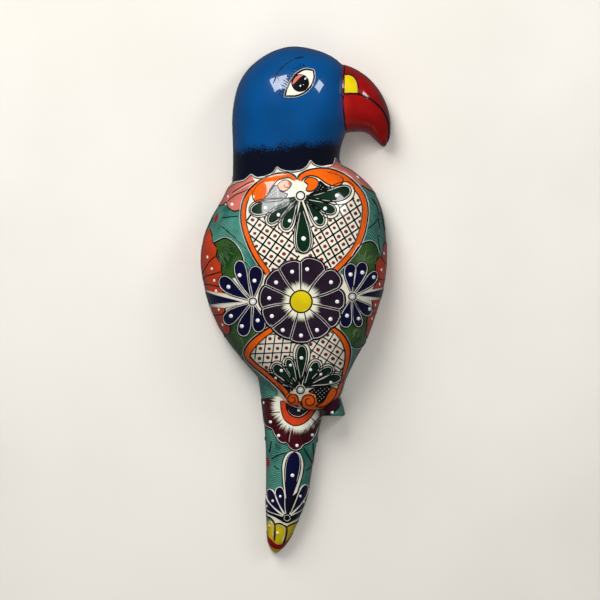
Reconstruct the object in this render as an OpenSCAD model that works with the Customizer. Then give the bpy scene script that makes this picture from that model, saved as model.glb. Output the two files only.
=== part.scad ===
// Glazed clay parrot wall plaque: a half-round, open-backed bird pressed in
// sections, luted together and hung by a wire loop.
// X runs to the bird's beak side, Z up, and the wall is on the +Y side.
// The origin is where the nail bears, under the top bend of the wire loop.

/* [Bird] */
// Height from the tip of the tail to the crown
bird_h = 561; // [540:1:580]
// Width across the breast
bird_w = 206; // [196:1:216]
// Depth of the breast off the wall
bird_d = 88; // [80:1:96]
// Thickness of the pressed clay
clay_t = 6.5; // [5.5:0.5:7.5]
// Fullness of every cross-section, where 2 is a plain half ellipse
fullness = 2.35; // [2.1:0.05:2.6]

/* [Joining clay] */
// Height of the coil smeared over the neck seam
coil_h = 16; // [12:1:18]
// Thickness of the joining coils
coil_t = 6; // [4:0.5:7]

/* [Hanging strap] */
// Height of the clay strap across the shoulders
strap_h = 14; // [12:1:16]
// Thickness of the strap, front to back
strap_t = 9; // [8:0.5:10]
// Gap between the strap and the wall
strap_gap = 2.5; // [1:0.5:2.5]
// Width of the pierced lug on top of the strap
lug_w = 20; // [16:1:22]
// Radius of the lug around its hole
lug_r = 5; // [4.5:0.1:5.2]

/* [Wire loop] */
// Diameter of the iron wire
wire_d = 2.84; // [2.82:0.01:2.9]
// Diameter of the hole that the wire turns in
bore_d = 3; // [3:0.01:3.04]
// Distance from the hole's centre up to the nail
loop_h = 40; // [36:1:44]
// Half width of the loop where its sides would meet its foot
loop_half_w = 22; // [21:0.5:24]
// Bend radius at the foot of the loop, to the wire's centre
foot_bend_r = 5; // [4:0.5:5.5]
// Bend radius at the top of the loop, to the wire's centre
top_bend_r = 6; // [5:0.5:7]

/* [Hidden] */
$fn = 48;

// Wall plane, the middle of the hole in the lug, and the strap under it
wall_y = 6;
bore_z = -loop_h;
strap_top = bore_z - 8;
wire_r = wire_d / 2;

// How far the joining coils, and the lug's foot, stay back from the wall
coil_back = strap_gap + strap_t + 1;
lug_back = 1.5;

// The loop's sides lean in from its foot to touch the top bend
top_rise = loop_h + wire_r - top_bend_r;
side_lean = acos(top_bend_r / norm([loop_half_w, top_rise])) - atan2(top_rise, loop_half_w);
foot_centre_x = (top_bend_r - foot_bend_r + (top_rise - foot_bend_r) * sin(side_lean)) / cos(side_lean);

// Drawn size of the outlines below, and the stretch to the size asked for
stretch = [bird_w / 206, bird_d / 88, bird_h / 561];

// Every section hangs between two edge points, the left and the right one,
// each given as [x, z], and stands off the wall by a depth:
// [left x, left z, right x, right z, depth]. A section with no width is a pole.
NECK = [-70.5, -58, 50, -37, 64];

HEAD = [
    NECK,
    [-69.8, -36, 49, -24, 66],
    [-70.1, -12, 53, -9, 70],
    [-70.8, 10, 60, 10, 73.5],
    [-68.9, 30, 61.5, 30, 75],
    [-64.2, 49, 60, 49, 72],
    [-55, 65, 56, 65, 64],
    [-41, 78, 44, 78.5, 51],
    [-23.5, 87.8, 24, 88, 33],
    [-2, 92.5, -2, 92.5, 0]
];

BREAST = [
    NECK,
    [-75, -64, 66, -48, 70],
    [-82, -78, 84.5, -66, 76],
    [-93.5, -97, 95.5, -90, 82],
    [-102.5, -121, 99.5, -118, 86],
    [-105.3, -147, 100.3, -147, 88],
    [-100.8, -175, 96.6, -175, 88],
    [-91.5, -205, 88, -205, 86],
    [-76.8, -232, 78, -232, 82],
    [-58, -256, 65, -256, 74],
    [-40.5, -276, 55.5, -276, 66],
    [-27.5, -292.5, 49.5, -294, 57],
    [-17, -304.5, 39, -305.5, 48],
    [-3, -309.8, 26, -310.4, 33],
    [11, -311.2, 11, -311.2, 0]
];

BEAK = [
    [40, 74, 40, -8, 44],
    [56, 71.6, 56, -3.2, 46],
    [68.5, 66, 65, -2.3, 46],
    [81, 56.8, 73, -2.3, 44],
    [92.5, 43, 80, -4.6, 40],
    [100.4, 27.5, 85.5, -9.3, 35],
    [104.4, 11, 89.5, -13, 29],
    [104, -3.5, 93.3, -16.3, 22],
    [101.5, -13, 96.5, -18.2, 13],
    [99.3, -17.6, 99.3, -17.6, 0]
];

TAIL = [
    [-45, -262, 36, -262, 38],
    [-40.3, -285, 32, -285, 39],
    [-36.8, -312, 28.8, -312, 40],
    [-34, -342, 23.8, -342, 39],
    [-33.2, -372, 18.4, -372, 37],
    [-33.2, -402, 13.2, -402, 33],
    [-33, -428, 4.4, -428, 28],
    [-32, -448, -4.4, -448, 21],
    [-29.6, -461, -13, -461, 13],
    [-22, -468.5, -22, -468.5, 0]
];

FOOT = [
    [14, -284, 45, -284, 33],
    [20, -298, 50, -298, 34],
    [24, -313, 54, -313, 33],
    [25.5, -316.5, 53.5, -316.5, 30]
];

// The hollows behind the beak and the tail stop short of their thin tips
BEAK_HOLLOW = concat([for (i = [0 : 5]) BEAK[i]], [[100, -6, 100, -6, 0]]);
TAIL_HOLLOW = concat([for (i = [0 : 7]) TAIL[i]], [[-20, -462, -20, -462, 0]]);

// Sections per stretch between two of those above, and steps along a section
sub_steps = 2;
arc_steps = 22;

// Steps round each bend of the wire, and sides of the wire there
bend_steps = 9;
wire_sides = 16;

function is_pole(s) = s[0] == s[2] && s[1] == s[3];

// The section past an end: mirrored through a pole, or carried straight on
function beyond(s, next) = is_pole(s)
    ? [next[2], next[3], next[0], next[1], -next[4]]
    : 2 * s - next;

function padded(list) = let (n = len(list))
    concat([beyond(list[0], list[1])], list, [beyond(list[n - 1], list[n - 2])]);

// A smooth curve from b to c that looks at its neighbours a and d
function between(a, b, c, d, t) =
    (2 * b + t * (c - a) + t * t * (2 * a - 5 * b + 4 * c - d) + t * t * t * (3 * b - a - 3 * c + d)) / 2;

function smooth(list) = let (p = padded(list), n = len(list)) concat(
    [for (i = [0 : n - 2]) for (k = [0 : sub_steps - 1])
        between(p[i], p[i + 1], p[i + 2], p[i + 3], k / sub_steps)],
    [list[n - 1]]);

// Which way round the sections run: 1 with the left edge on the left of the travel
function turn(list) = let (a = list[0], b = list[len(list) - 1])
    sign(cross([a[2] - a[0], a[3] - a[1]], [b[0] + b[2] - a[0] - a[2], b[1] + b[3] - a[1] - a[3]]));

function across(step) = [-step[1], step[0]] / norm(step);

// The same sections drawn in by t all round: at right angles to the edges, but
// straight along the section at the open end that the list starts from
function inset(list, t) = let (p = padded(list), side = turn(list)) [
    for (i = [0 : len(list) - 1]) let (
        s = list[i],
        step = p[i + 2] - p[i],
        chord = [s[2] - s[0], s[3] - s[1]],
        left = t * (i == 0 ? chord / norm(chord) : -side * across([step[0], step[1]])),
        right = t * (i == 0 ? -chord / norm(chord) : side * across([step[2], step[3]]))
    ) [s[0] + left[0], s[1] + left[1], s[2] + right[0], s[3] + right[1], is_pole(s) ? 0 : s[4] - t]
];

// Starts the list a little early, so that a hollow cuts through its open end
function early(list) = concat([1.2 * list[0] - 0.2 * list[1]], [for (i = [1 : len(list) - 1]) list[i]]);

// A section's half oval in front of the wall, and the same carried past the wall
function half_oval(s) = [for (i = [0 : arc_steps]) let (
    a = 180 * i / arc_steps,
    u = -sign(cos(a)) * pow(abs(cos(a)), 2 / fullness),
    v = pow(abs(sin(a)), 2 / fullness)
) [(s[0] + s[2] + u * (s[2] - s[0])) / 2 * stretch[0],
   wall_y - s[4] * v * stretch[1],
   (s[1] + s[3] + u * (s[3] - s[1])) / 2 * stretch[2]]];

function open_oval(s) = let (oval = half_oval(s)) concat(
    [oval[0] + [0, 1, 0]], oval, [oval[arc_steps] + [0, 1, 0]]);

// Closed solid through rings that all have the same number of points
module through(rings, side) {
    n = len(rings[0]);
    last = len(rings) - 1;
    strips = [for (r = [0 : last - 1]) for (i = [0 : n - 1]) let (j = (i + 1) % n)
        [r * n + i, (r + 1) * n + i, (r + 1) * n + j, r * n + j]];
    caps = [[for (i = [0 : n - 1]) i], [for (i = [n - 1 : -1 : 0]) last * n + i]];
    mirrored = [for (face = concat(strips, caps)) [for (i = [len(face) - 1 : -1 : 0]) face[i]]];
    polyhedron(
        points = [for (ring = rings) each ring],
        faces = side > 0 ? concat(strips, caps) : mirrored,
        convexity = 6);
}

module outside(list) {
    through([for (s = smooth(list)) half_oval(s)], turn(list));
}

module inside(list, t = clay_t) {
    through([for (s = smooth(early(inset(list, t)))) open_oval(s)], turn(list));
}

// Sculpted and bent surfaces are meshed together, as one piece
module as_mesh() {
    resize([0, 0, 0]) children();
}

module breast_clay() {
    difference() {
        outside(BREAST);
        inside(BREAST);
    }
}

module head_clay() {
    difference() {
        outside(HEAD);
        inside(HEAD);
    }
}

module breast_shell() {
    color("mediumaquamarine") as_mesh() breast_clay();
}

module head_shell() {
    color("steelblue") as_mesh() head_clay();
}

module beak() {
    color("firebrick") as_mesh() difference() {
        outside(BEAK);
        inside(BEAK_HOLLOW);
        outside(HEAD);
    }
}

module tail_shell() {
    color("seagreen") as_mesh() difference() {
        outside(TAIL);
        inside(TAIL_HOLLOW);
        outside(BREAST);
    }
}

// The stub of the perching feet, beside the tail and behind the breast
module foot_stub() {
    color("teal") as_mesh() difference() {
        outside(FOOT);
        outside(BREAST);
        outside(TAIL);
    }
}

// Soft clay smeared over the neck seam from inside
module neck_coil() {
    tilt = atan2(NECK[3] - NECK[1], NECK[2] - NECK[0]);
    middle = [NECK[0] + NECK[2], 0, NECK[1] + NECK[3]] / 2;
    reach = 4 * wall_y + bird_d;
    color("peru") as_mesh() difference() {
        intersection() {
            translate([middle[0], wall_y - coil_back, middle[2]])
                rotate([0, -tilt, 0])
                    translate([-bird_w, -reach, -coil_h / 2]) cube([2 * bird_w, reach, coil_h]);
            union() {
                inside(HEAD);
                inside(BREAST);
            }
        }
        inside(HEAD, clay_t + coil_t);
        inside(BREAST, clay_t + coil_t);
    }
}

// The same between the tail's walls and the underside of the breast
module tail_coil() {
    color("peru") as_mesh() difference() {
        intersection() {
            inside(TAIL_HOLLOW);
            outside(inset(BREAST, -coil_t));
            translate([-bird_w, wall_y - coil_back - bird_d, -bird_h]) cube([2 * bird_w, bird_d, bird_h]);
        }
        inside(TAIL_HOLLOW, clay_t + coil_t);
        outside(BREAST);
    }
}

// A clay bar across the shoulders, with a pierced lug for the wire
module hanging_strap() {
    color("sienna") difference() {
        union() {
            as_mesh() intersection() {
                translate([-bird_w, wall_y - strap_gap - strap_t, strap_top - strap_h])
                    cube([2 * bird_w, strap_t, strap_h]);
                difference() {
                    outside(BREAST);
                    breast_clay();
                }
            }
            translate([-lug_w / 2, -lug_r, strap_top - strap_h / 2])
                cube([lug_w, 2 * lug_r - lug_back, bore_z - strap_top + strap_h / 2]);
            translate([-lug_w / 2, 0, bore_z]) rotate([0, 90, 0]) cylinder(r = lug_r, h = lug_w);
        }
        translate([-lug_w, 0, bore_z]) rotate([0, 90, 0]) cylinder(d = bore_d, h = 2 * lug_w);
    }
}

// Points round an arc in the loop's plane, each with the way out from its centre
function arc(centre, r, from, to) = [for (k = [0 : bend_steps]) let (a = from + (to - from) * k / bend_steps)
    [centre + r * [cos(a), sin(a)], [cos(a), sin(a)]]];

function wire_ring(at, out) = [for (k = [0 : wire_sides - 1]) let (a = 360 * k / wire_sides)
    [at[0] + wire_r * cos(a) * out[0], wire_r * sin(a), at[1] + wire_r * cos(a) * out[1]]];

// A closed loop of iron wire: a true round foot in the lug, and the bent rest
module wire_hanger() {
    foot_z = bore_z + foot_bend_r;
    bends = concat(
        arc([foot_centre_x, foot_z], foot_bend_r, -90, side_lean),
        arc([0, wire_r - top_bend_r], top_bend_r, side_lean, 180 - side_lean),
        arc([-foot_centre_x, foot_z], foot_bend_r, 180 - side_lean, 270));
    color("dimgray") {
        translate([-foot_centre_x, 0, bore_z]) rotate([0, 90, 0]) cylinder(r = wire_r, h = 2 * foot_centre_x);
        as_mesh() through([for (b = bends) wire_ring(b[0], b[1])], 1);
    }
}

breast_shell();
head_shell();
beak();
tail_shell();
foot_stub();
neck_coil();
tail_coil();
hanging_strap();
wire_hanger();
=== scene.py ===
"""Looks for the glazed clay parrot: smooth hand-pressed clay, painted enamel and soft studio light.

Lengths in this file are millimetres until a mesh is made, in the same frame as the CAD model:
X runs to the beak side, Z up, and the wall is on the +Y side.
Every painted shape is drawn flat, seen from the front, and then laid on the clay as a thin pad.
"""

import math

import bmesh
import bpy
import numpy as np
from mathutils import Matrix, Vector
from mathutils.geometry import delaunay_2d_cdt


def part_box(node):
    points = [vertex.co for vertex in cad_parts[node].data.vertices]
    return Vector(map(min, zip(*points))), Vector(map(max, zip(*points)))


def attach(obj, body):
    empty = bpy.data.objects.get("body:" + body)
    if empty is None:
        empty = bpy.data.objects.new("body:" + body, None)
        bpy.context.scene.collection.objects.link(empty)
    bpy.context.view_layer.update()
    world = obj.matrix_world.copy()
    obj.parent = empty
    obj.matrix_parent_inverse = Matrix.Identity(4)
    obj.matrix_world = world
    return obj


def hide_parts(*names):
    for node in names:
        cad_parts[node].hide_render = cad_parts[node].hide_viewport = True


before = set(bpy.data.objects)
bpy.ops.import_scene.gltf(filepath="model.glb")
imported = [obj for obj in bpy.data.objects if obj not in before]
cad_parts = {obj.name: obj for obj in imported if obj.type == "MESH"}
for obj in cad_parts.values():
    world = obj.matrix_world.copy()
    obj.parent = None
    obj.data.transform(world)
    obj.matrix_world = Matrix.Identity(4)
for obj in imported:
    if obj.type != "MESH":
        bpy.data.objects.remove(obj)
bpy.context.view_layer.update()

MM = 0.001
WALL = round(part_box("breast_shell")[1].y / MM, 3)
FULLNESS = 2.35      # of every cross-section, where 2 is a plain half ellipse
CLAY = 6.5           # thickness of the pressed clay
WAVE = 0.35          # height of the hand-made unevenness
WAVE_FADE = 12       # distance over which it dies out towards the wall
SIDE_FROM = 0.86     # share of the half width past which paint is laid round the side wall
EDGE_V = (1 - SIDE_FROM**FULLNESS) ** (1 / FULLNESS)           # share of the depth at that place
SIDE_SHARE = EDGE_V * (EDGE_V / SIDE_FROM) ** (FULLNESS - 1)   # flat share that covers the side wall
SIDE_USED = 0.985    # share of the side wall that paint may cover
SUNK = 0.12          # how far a pad's border reaches into the clay
END_GAP = 0.02       # how near to a form's ends, in sections, a place on it is worked out
HALVINGS = 26        # steps in finding the section through a place

# ---------------------------------------------------------------- clay forms
# Each section is [left x, left z, right x, right z, depth off the wall]; no width makes a pole.
BODY = [
    [-2, 92.5, -2, 92.5, 0], [-23.5, 87.8, 24, 88, 33], [-41, 78, 44, 78.5, 51], [-55, 65, 56, 65, 64],
    [-64.2, 49, 60, 49, 72], [-68.9, 30, 61.5, 30, 75], [-70.8, 10, 60, 10, 73.5], [-70.1, -12, 53, -9, 70],
    [-69.8, -36, 49, -24, 66], [-70.5, -58, 50, -37, 64], [-75, -64, 66, -48, 70], [-82, -78, 84.5, -66, 76],
    [-93.5, -97, 95.5, -90, 82], [-102.5, -121, 99.5, -118, 86], [-105.3, -147, 100.3, -147, 88],
    [-100.8, -175, 96.6, -175, 88], [-91.5, -205, 88, -205, 86], [-76.8, -232, 78, -232, 82],
    [-58, -256, 65, -256, 74], [-40.5, -276, 55.5, -276, 66], [-27.5, -292.5, 49.5, -294, 57],
    [-17, -304.5, 39, -305.5, 48], [-3, -309.8, 26, -310.4, 33], [11, -311.2, 11, -311.2, 0]]
NECK = 9             # which of the body's sections is the neck seam
BEAK = [
    [40, 74, 40, -8, 44], [56, 71.6, 56, -3.2, 46], [68.5, 66, 65, -2.3, 46], [81, 56.8, 73, -2.3, 44],
    [92.5, 43, 80, -4.6, 40], [100.4, 27.5, 85.5, -9.3, 35], [104.4, 11, 89.5, -13, 29],
    [104, -3.5, 93.3, -16.3, 22], [101.5, -13, 96.5, -18.2, 13], [99.3, -17.6, 99.3, -17.6, 0]]
TAIL = [
    [-45, -262, 36, -262, 38], [-40.3, -285, 32, -285, 39], [-36.8, -312, 28.8, -312, 40],
    [-34, -342, 23.8, -342, 39], [-33.2, -372, 18.4, -372, 37], [-33.2, -402, 13.2, -402, 33],
    [-33, -428, 4.4, -428, 28], [-32, -448, -4.4, -448, 21], [-29.6, -461, -13, -461, 13],
    [-22, -468.5, -22, -468.5, 0]]
FOOT = [
    [14, -284, 45, -284, 33], [20, -298, 50, -298, 34], [24, -313, 54, -313, 33], [25.5, -316.5, 53.5,
                                                                                   -316.5, 30]]


class Form:
    """A half-round clay form that hangs between the edge points of its sections."""

    def __init__(self, sections):
        rows = np.array(sections, float)
        self.count = len(rows)
        self.rows = np.vstack([self.beyond(rows[0], rows[1]), rows, self.beyond(rows[-1], rows[-2])])
        self.low, self.high = END_GAP, self.count - 1 - END_GAP
        ends = self.section(np.array([self.low, self.high]))
        middle = (ends[1, :2] + ends[1, 2:4]) / 2
        self.way = np.sign(self.past(ends[:1], middle[None])[0])

    @staticmethod
    def beyond(row, nearest):
        """The section past an end: mirrored through a pole, or carried straight on."""
        if row[0] == row[2] and row[1] == row[3]:
            return np.array([nearest[2], nearest[3], nearest[0], nearest[1], -nearest[4]])
        return 2 * row - nearest

    def section(self, t):
        i = np.clip(np.floor(t).astype(int), 0, self.count - 2)
        k = (t - i)[:, None]
        a, b, c, d = (self.rows[i + j] for j in range(4))
        return (2 * b + k * (c - a) + k**2 * (2 * a - 5 * b + 4 * c - d) + k**3 * (3 * b - a - 3 * c + d)) / 2

    @staticmethod
    def past(section, at):
        """Which side of a section's line a point is on."""
        dx, dz = section[:, 2] - section[:, 0], section[:, 3] - section[:, 1]
        return dx * (at[:, 1] - section[:, 1]) - dz * (at[:, 0] - section[:, 0])

    def surface(self, t, u, v):
        """Points at share u of the half width and share v of the depth of section t."""
        s = self.section(t)
        x = (s[:, 0] + s[:, 2]) / 2 + u * (s[:, 2] - s[:, 0]) / 2
        z = (s[:, 1] + s[:, 3]) / 2 + u * (s[:, 3] - s[:, 1]) / 2
        return np.stack([x, WALL - v * s[:, 4], z], 1)

    def find(self, at):
        """The section that passes through each flat point, by halving."""
        low, high = np.full(len(at), self.low), np.full(len(at), self.high)
        for _ in range(HALVINGS):
            middle = (low + high) / 2
            further = self.past(self.section(middle), at) * self.way > 0
            low = np.where(further, middle, low)
            high = np.where(further, high, middle)
        return (low + high) / 2

    def across(self, at):
        """The section through each flat point, half of its line, and how many halves off its middle."""
        t = self.find(at)
        s = self.section(t)
        half = (s[:, 2:4] - s[:, :2]) / 2
        return t, half, ((at - (s[:, :2] + s[:, 2:4]) / 2) * half).sum(1) / (half**2).sum(1)

    def past_wall(self, at):
        """How far flat points lie past the part of the side wall that paint may cover."""
        _, half, w = self.across(at)
        beyond = np.clip(np.abs(w) - SIDE_FROM - SIDE_USED * SIDE_SHARE, 0, None)
        return half * (np.sign(w) * beyond)[:, None]

    def lay(self, at):
        """Where flat points land on the clay. Past SIDE_FROM they go on down the side wall."""
        t, _, w = self.across(at)
        return self.surface(t, *wrapped(w))

    def lay_with_normals(self, at):
        """Points on the clay, the way out from it, and the waves on it."""
        step = 0.05
        here = self.lay(at)
        along_x = self.lay(at + [step, 0]) - here
        along_z = self.lay(at + [0, step]) - here
        return waved(here, unit(np.cross(along_x, along_z)))

    def holds(self, points):
        """Whether points in space lie between the form's surface and the wall plane."""
        t, _, w = self.across(points[:, [0, 2]])
        off_wall = np.abs(WALL - points[:, 1]) / self.section(t)[:, 4]
        return np.abs(w) ** FULLNESS + off_wall**FULLNESS < 1


def wrapped(w):
    """Shares of the half width and of the depth, for a flat place w half widths from the middle."""
    on_side = np.clip((np.abs(w) - SIDE_FROM) / SIDE_SHARE, 0, 1)
    front = np.minimum(np.abs(w), SIDE_FROM)
    v = np.where(on_side > 0, EDGE_V * (1 - on_side), (1 - front**FULLNESS) ** (1 / FULLNESS))
    u = np.where(on_side > 0, (1 - v**FULLNESS) ** (1 / FULLNESS), front)
    return u * np.sign(w), v


def arc_point(angle):
    """The same shares at an angle of a cross-section, from 0 at its left edge to pi at its right one."""
    cos, sin = np.cos(angle), np.sin(angle)
    return -np.sign(cos) * np.abs(cos) ** (2 / FULLNESS), np.abs(sin) ** (2 / FULLNESS)


def heading(angle):
    """The flat direction at an angle in radians."""
    return np.array([math.cos(angle), math.sin(angle)])


def unit(vectors):
    return vectors / np.maximum(np.linalg.norm(vectors, axis=-1, keepdims=True), 1e-12)


# The hand-made unevenness: each wave's numbers along x, y and z, per millimetre, and its phase
RIPPLES = ((0.060, 0.010, 0.045, 0.3), (-0.035, 0.030, 0.070, 1.9), (0.018, -0.055, -0.088, 4.2),
           (0.11, 0.07, -0.06, 2.4))


def waved(points, out):
    """The points moved by the unevenness, and the way out from the uneven surface."""
    height = np.zeros(len(points))
    slope = np.zeros_like(points)
    for *wave, phase in RIPPLES:
        angle = points @ np.array(wave) + phase
        height += WAVE / len(RIPPLES) * np.sin(angle)
        slope += WAVE / len(RIPPLES) * np.cos(angle)[:, None] * np.array(wave)
    height *= np.clip((WALL - points[:, 1]) / WAVE_FADE, 0, 1)
    slope -= (slope * out).sum(1, keepdims=True) * out
    return points + out * height[:, None], unit(out - slope)


body_form, beak_form, tail_form, foot_form = Form(BODY), Form(BEAK), Form(TAIL), Form(FOOT)


# ---------------------------------------------------------------- node materials
UNDER_COAT = 0.08    # gloss left to the colour under the clear coat


class Nodes:
    """A short way to write a material's nodes."""

    def __init__(self, name):
        self.material = bpy.data.materials.new(name)
        self.material.use_nodes = True
        self.tree = self.material.node_tree
        self.shader = self.tree.nodes["Principled BSDF"]
        self.place = self.add("ShaderNodeTexCoord").outputs["Object"]

    def add(self, kind, inputs=(), **settings):
        node = self.tree.nodes.new(kind)
        for name, value in settings.items():
            setattr(node, name, value)
        for socket, value in dict(inputs).items():
            self.put(node.inputs[socket], value)
        return node

    def put(self, socket, value):
        if isinstance(value, bpy.types.NodeSocket):
            self.tree.links.new(value, socket)
        else:
            socket.default_value = value

    def math(self, operation, a, b=0.0, c=0.0):
        return self.add("ShaderNodeMath", {0: a, 1: b, 2: c}, operation=operation).outputs[0]

    def smooth_step(self, value, low, high):
        node = self.add("ShaderNodeMapRange", {"Value": value, "From Min": low, "From Max": high},
                        interpolation_type="SMOOTHSTEP")
        return node.outputs[0]

    def scaled(self, scale, turn=(0, 0, 0)):
        return self.add("ShaderNodeMapping",
                        {"Vector": self.place, "Scale": scale, "Rotation": turn}).outputs[0]

    def noise(self, scale, detail=3.0, at=None, roughness=0.5):
        node = self.add("ShaderNodeTexNoise", {"Vector": at or self.place, "Scale": scale, "Detail": detail,
                                               "Roughness": roughness})
        return node.outputs["Fac"]

    def mix(self, share, a, b):
        node = self.add("ShaderNodeMix", data_type="RGBA")
        self.put(node.inputs["Factor"], share)
        self.put(node.inputs[6], a)
        self.put(node.inputs[7], b)
        return node.outputs[2]

    def split(self):
        node = self.add("ShaderNodeSeparateXYZ", {0: self.place})
        return node.outputs[0], node.outputs[1], node.outputs[2]

    def finish(self, colour, roughness=0.3, coat=1.0, coat_roughness=0.04, bumps=(), **sockets):
        """bumps is a list of (height, distance in metres)."""
        self.put(self.shader.inputs["Base Color"], colour)
        self.shader.inputs["Roughness"].default_value = roughness
        self.shader.inputs["Coat Weight"].default_value = coat
        self.shader.inputs["Coat Roughness"].default_value = coat_roughness
        if coat:
            self.shader.inputs["Specular IOR Level"].default_value = UNDER_COAT
        for name, value in sockets.items():
            self.shader.inputs[name.replace("_", " ")].default_value = value
        normal = None
        for height, distance in bumps:
            inputs = {"Height": height, "Distance": distance, "Strength": 1.0}
            if normal:
                inputs["Normal"] = normal
            normal = self.add("ShaderNodeBump", inputs).outputs[0]
        if normal:
            self.put(self.shader.inputs["Normal"], normal)
        return self.material


def rgb(colour, gain=1.0):
    """A colour for a node, made darker or lighter."""
    return (*[min(c * gain, 1) for c in colour], 1)


def enamel(name, colour, vary=0.25, streaks=0.0):
    """Glossy enamel whose depth of colour changes a little, with faint brush streaks if asked."""
    n = Nodes(name)
    thick = n.smooth_step(n.noise(45, 3), 0.3, 0.7)
    shade = n.mix(thick, rgb(colour, 1 - vary), rgb(colour, 1 + vary))
    if streaks:
        hair = n.noise(9, 4, at=n.scaled((30, 30, 4), (0, 0.5, 0)), roughness=0.7)
        shade = n.mix(n.math("MULTIPLY", n.smooth_step(hair, 0.45, 0.75), streaks), shade, rgb(colour, 0.55))
    return n.finish(shade, bumps=[(n.noise(45, 2), 0.00035), (n.noise(160, 2), 0.00008)])


def brushed(name, colours, turn, ribs=165, cover=0.42, tip=None):
    """Thin enamel laid on in visible brush strokes: deep pools, a middle tone and pale hair lines, which are
    partly pale enamel and partly painted highlights along the brush ridges.

    tip is (height in mm, colour) where another colour takes over below a height.
    """
    deep, middle, pale = (rgb(colour) for colour in colours)
    n = Nodes(name)
    pools = n.smooth_step(n.noise(38, 3), 0.35, 0.65)
    rib = n.add("ShaderNodeTexWave", {"Vector": n.scaled((1, 1, 1), turn), "Scale": ribs, "Distortion": 9.0,
                                      "Detail": 2.0, "Detail Scale": 0.5}).outputs["Fac"]
    patches = n.smooth_step(n.noise(55, 2), 0.75 - cover, 0.95 - cover)
    # The pale hair lines are partly pale streaks in the enamel and partly painted highlights along the brush
    # ridges.
    hair = n.math("MULTIPLY", n.math("MULTIPLY", n.smooth_step(rib, 0.50, 1.0), patches), 0.8)
    colour = n.mix(hair, n.mix(pools, deep, middle), pale)
    if tip:
        height, below = tip
        above = n.smooth_step(n.split()[2], (height - 1) * MM, (height + 1) * MM)
        colour = n.mix(above, rgb(below), colour)
    return n.finish(colour, bumps=[(rib, 0.00004)])


def haloed(name, colour, halo, centre, inner, outer, squeeze=1.0):
    """Dark petals round a centre, with pale paint brushed out over them in fine rays."""
    n = Nodes(name)
    x, _, z = n.split()
    dx = n.math("SUBTRACT", x, centre[0] * MM)
    dz = n.math("MULTIPLY", n.math("SUBTRACT", z, centre[1] * MM), squeeze)
    out = n.add("ShaderNodeCombineXYZ", {0: dx, 1: 0.0, 2: dz}).outputs[0]
    radius = n.add("ShaderNodeVectorMath", {0: out}, operation="LENGTH").outputs["Value"]
    ray = n.add("ShaderNodeVectorMath", {0: out}, operation="NORMALIZE").outputs[0]
    wide = n.noise(2.6, 2, at=ray)
    fine = n.noise(17, 4, at=ray, roughness=0.8)
    fade = n.math("DIVIDE", n.math("SUBTRACT", radius, inner * MM), (outer - inner) * MM)
    streaks = n.math("ADD", n.math("MULTIPLY", fine, 2.0), n.math("MULTIPLY", wide, 0.6))
    pale = n.math("SUBTRACT", 1.0,
                  n.smooth_step(n.math("ADD", fade, n.math("SUBTRACT", streaks, 1.3)), 0.25, 0.75))
    depth = n.mix(n.smooth_step(n.noise(60, 3), 0.3, 0.7), rgb(colour, 0.75), rgb(colour, 1.25))
    return n.finish(n.mix(pale, depth, rgb(halo)), bumps=[(fine, 0.00004)])


BLUE, COLLAR = (0.0, 0.064, 0.222), (0.002, 0.003, 0.011)
CREAM, WHITE, GREY = (0.80, 0.745, 0.61), (0.86, 0.86, 0.88), (0.62, 0.60, 0.56)
BLACK, HALO, TAIL_HALO = (0.0022, 0.0022, 0.0028), (0.78, 0.76, 0.60), (0.78, 0.76, 0.62)
ORANGE, EDGE_RED = (0.80, 0.112, 0.002), (0.56, 0.045, 0.008)
RED, NEAR_HEAD_RED = (0.27, 0.002, 0.002), (0.50, 0.02, 0.006)
GREEN, NAVY, PALE_GREEN = (0.0015, 0.018, 0.006), (0.002, 0.002, 0.026), (0.12, 0.20, 0.09)
PLUM, MAROON, FOOT_MAROON = (0.016, 0.007, 0.017), (0.048, 0.002, 0.005), (0.030, 0.002, 0.010)
YELLOW, PINK, DOT_RED = (0.66, 0.50, 0.002), (0.62, 0.16, 0.12), (0.16, 0.013, 0.022)
CLAY_RED, DUST = (0.36, 0.15, 0.075), (0.55, 0.34, 0.22)
IRON, RUST = (0.07, 0.065, 0.062), (0.16, 0.055, 0.025)
TEAL = ((0.012, 0.11, 0.085), (0.040, 0.215, 0.160), (0.17, 0.38, 0.30))     # deep, middle, pale
LEAF = ((0.008, 0.045, 0.006), (0.028, 0.090, 0.012), (0.09, 0.17, 0.06))


def head_glaze():
    """Blue that is spattered into a near-black collar, higher on the beak side."""
    n = Nodes("head_glaze")
    x, _, z = n.split()
    height = n.math("ADD", z, n.math("MULTIPLY", x, -0.08))
    spatter = n.math("MULTIPLY", n.math("SUBTRACT", n.noise(900, 1), 0.5), 0.030)
    drift = n.math("MULTIPLY", n.math("SUBTRACT", n.noise(70, 3), 0.5), 0.012)
    level = n.math("ADD", height, n.math("ADD", spatter, drift))
    blue = n.mix(n.smooth_step(n.noise(14, 3), 0.3, 0.7), rgb(BLUE, 0.85), rgb(BLUE, 1.15))
    above = n.smooth_step(level, -0.0205, -0.0155)
    return n.finish(n.mix(above, rgb(COLLAR), blue),
                    bumps=[(n.noise(38, 2), 0.0005), (n.noise(120, 2), 0.0001)])


def beak_glaze():
    """Deep red, lighter and more orange low on the side next to the head."""
    n = Nodes("beak_glaze")
    x, _, z = n.split()
    near = n.math("SUBTRACT", 1.0, n.smooth_step(x, 0.050, 0.064))
    low = n.math("SUBTRACT", 1.0, n.smooth_step(z, 0.034, 0.040))
    # Lighter, more orange red low on the beak's side next to the head.
    thin = n.math("MULTIPLY", n.math("MULTIPLY", near, low), 0.6)
    red = n.mix(n.smooth_step(n.noise(40, 3), 0.3, 0.7), rgb(RED, 0.85), rgb(RED, 1.2))
    return n.finish(n.mix(thin, red, rgb(NEAR_HEAD_RED)), bumps=[(n.noise(45, 2), 0.0004)])


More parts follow.
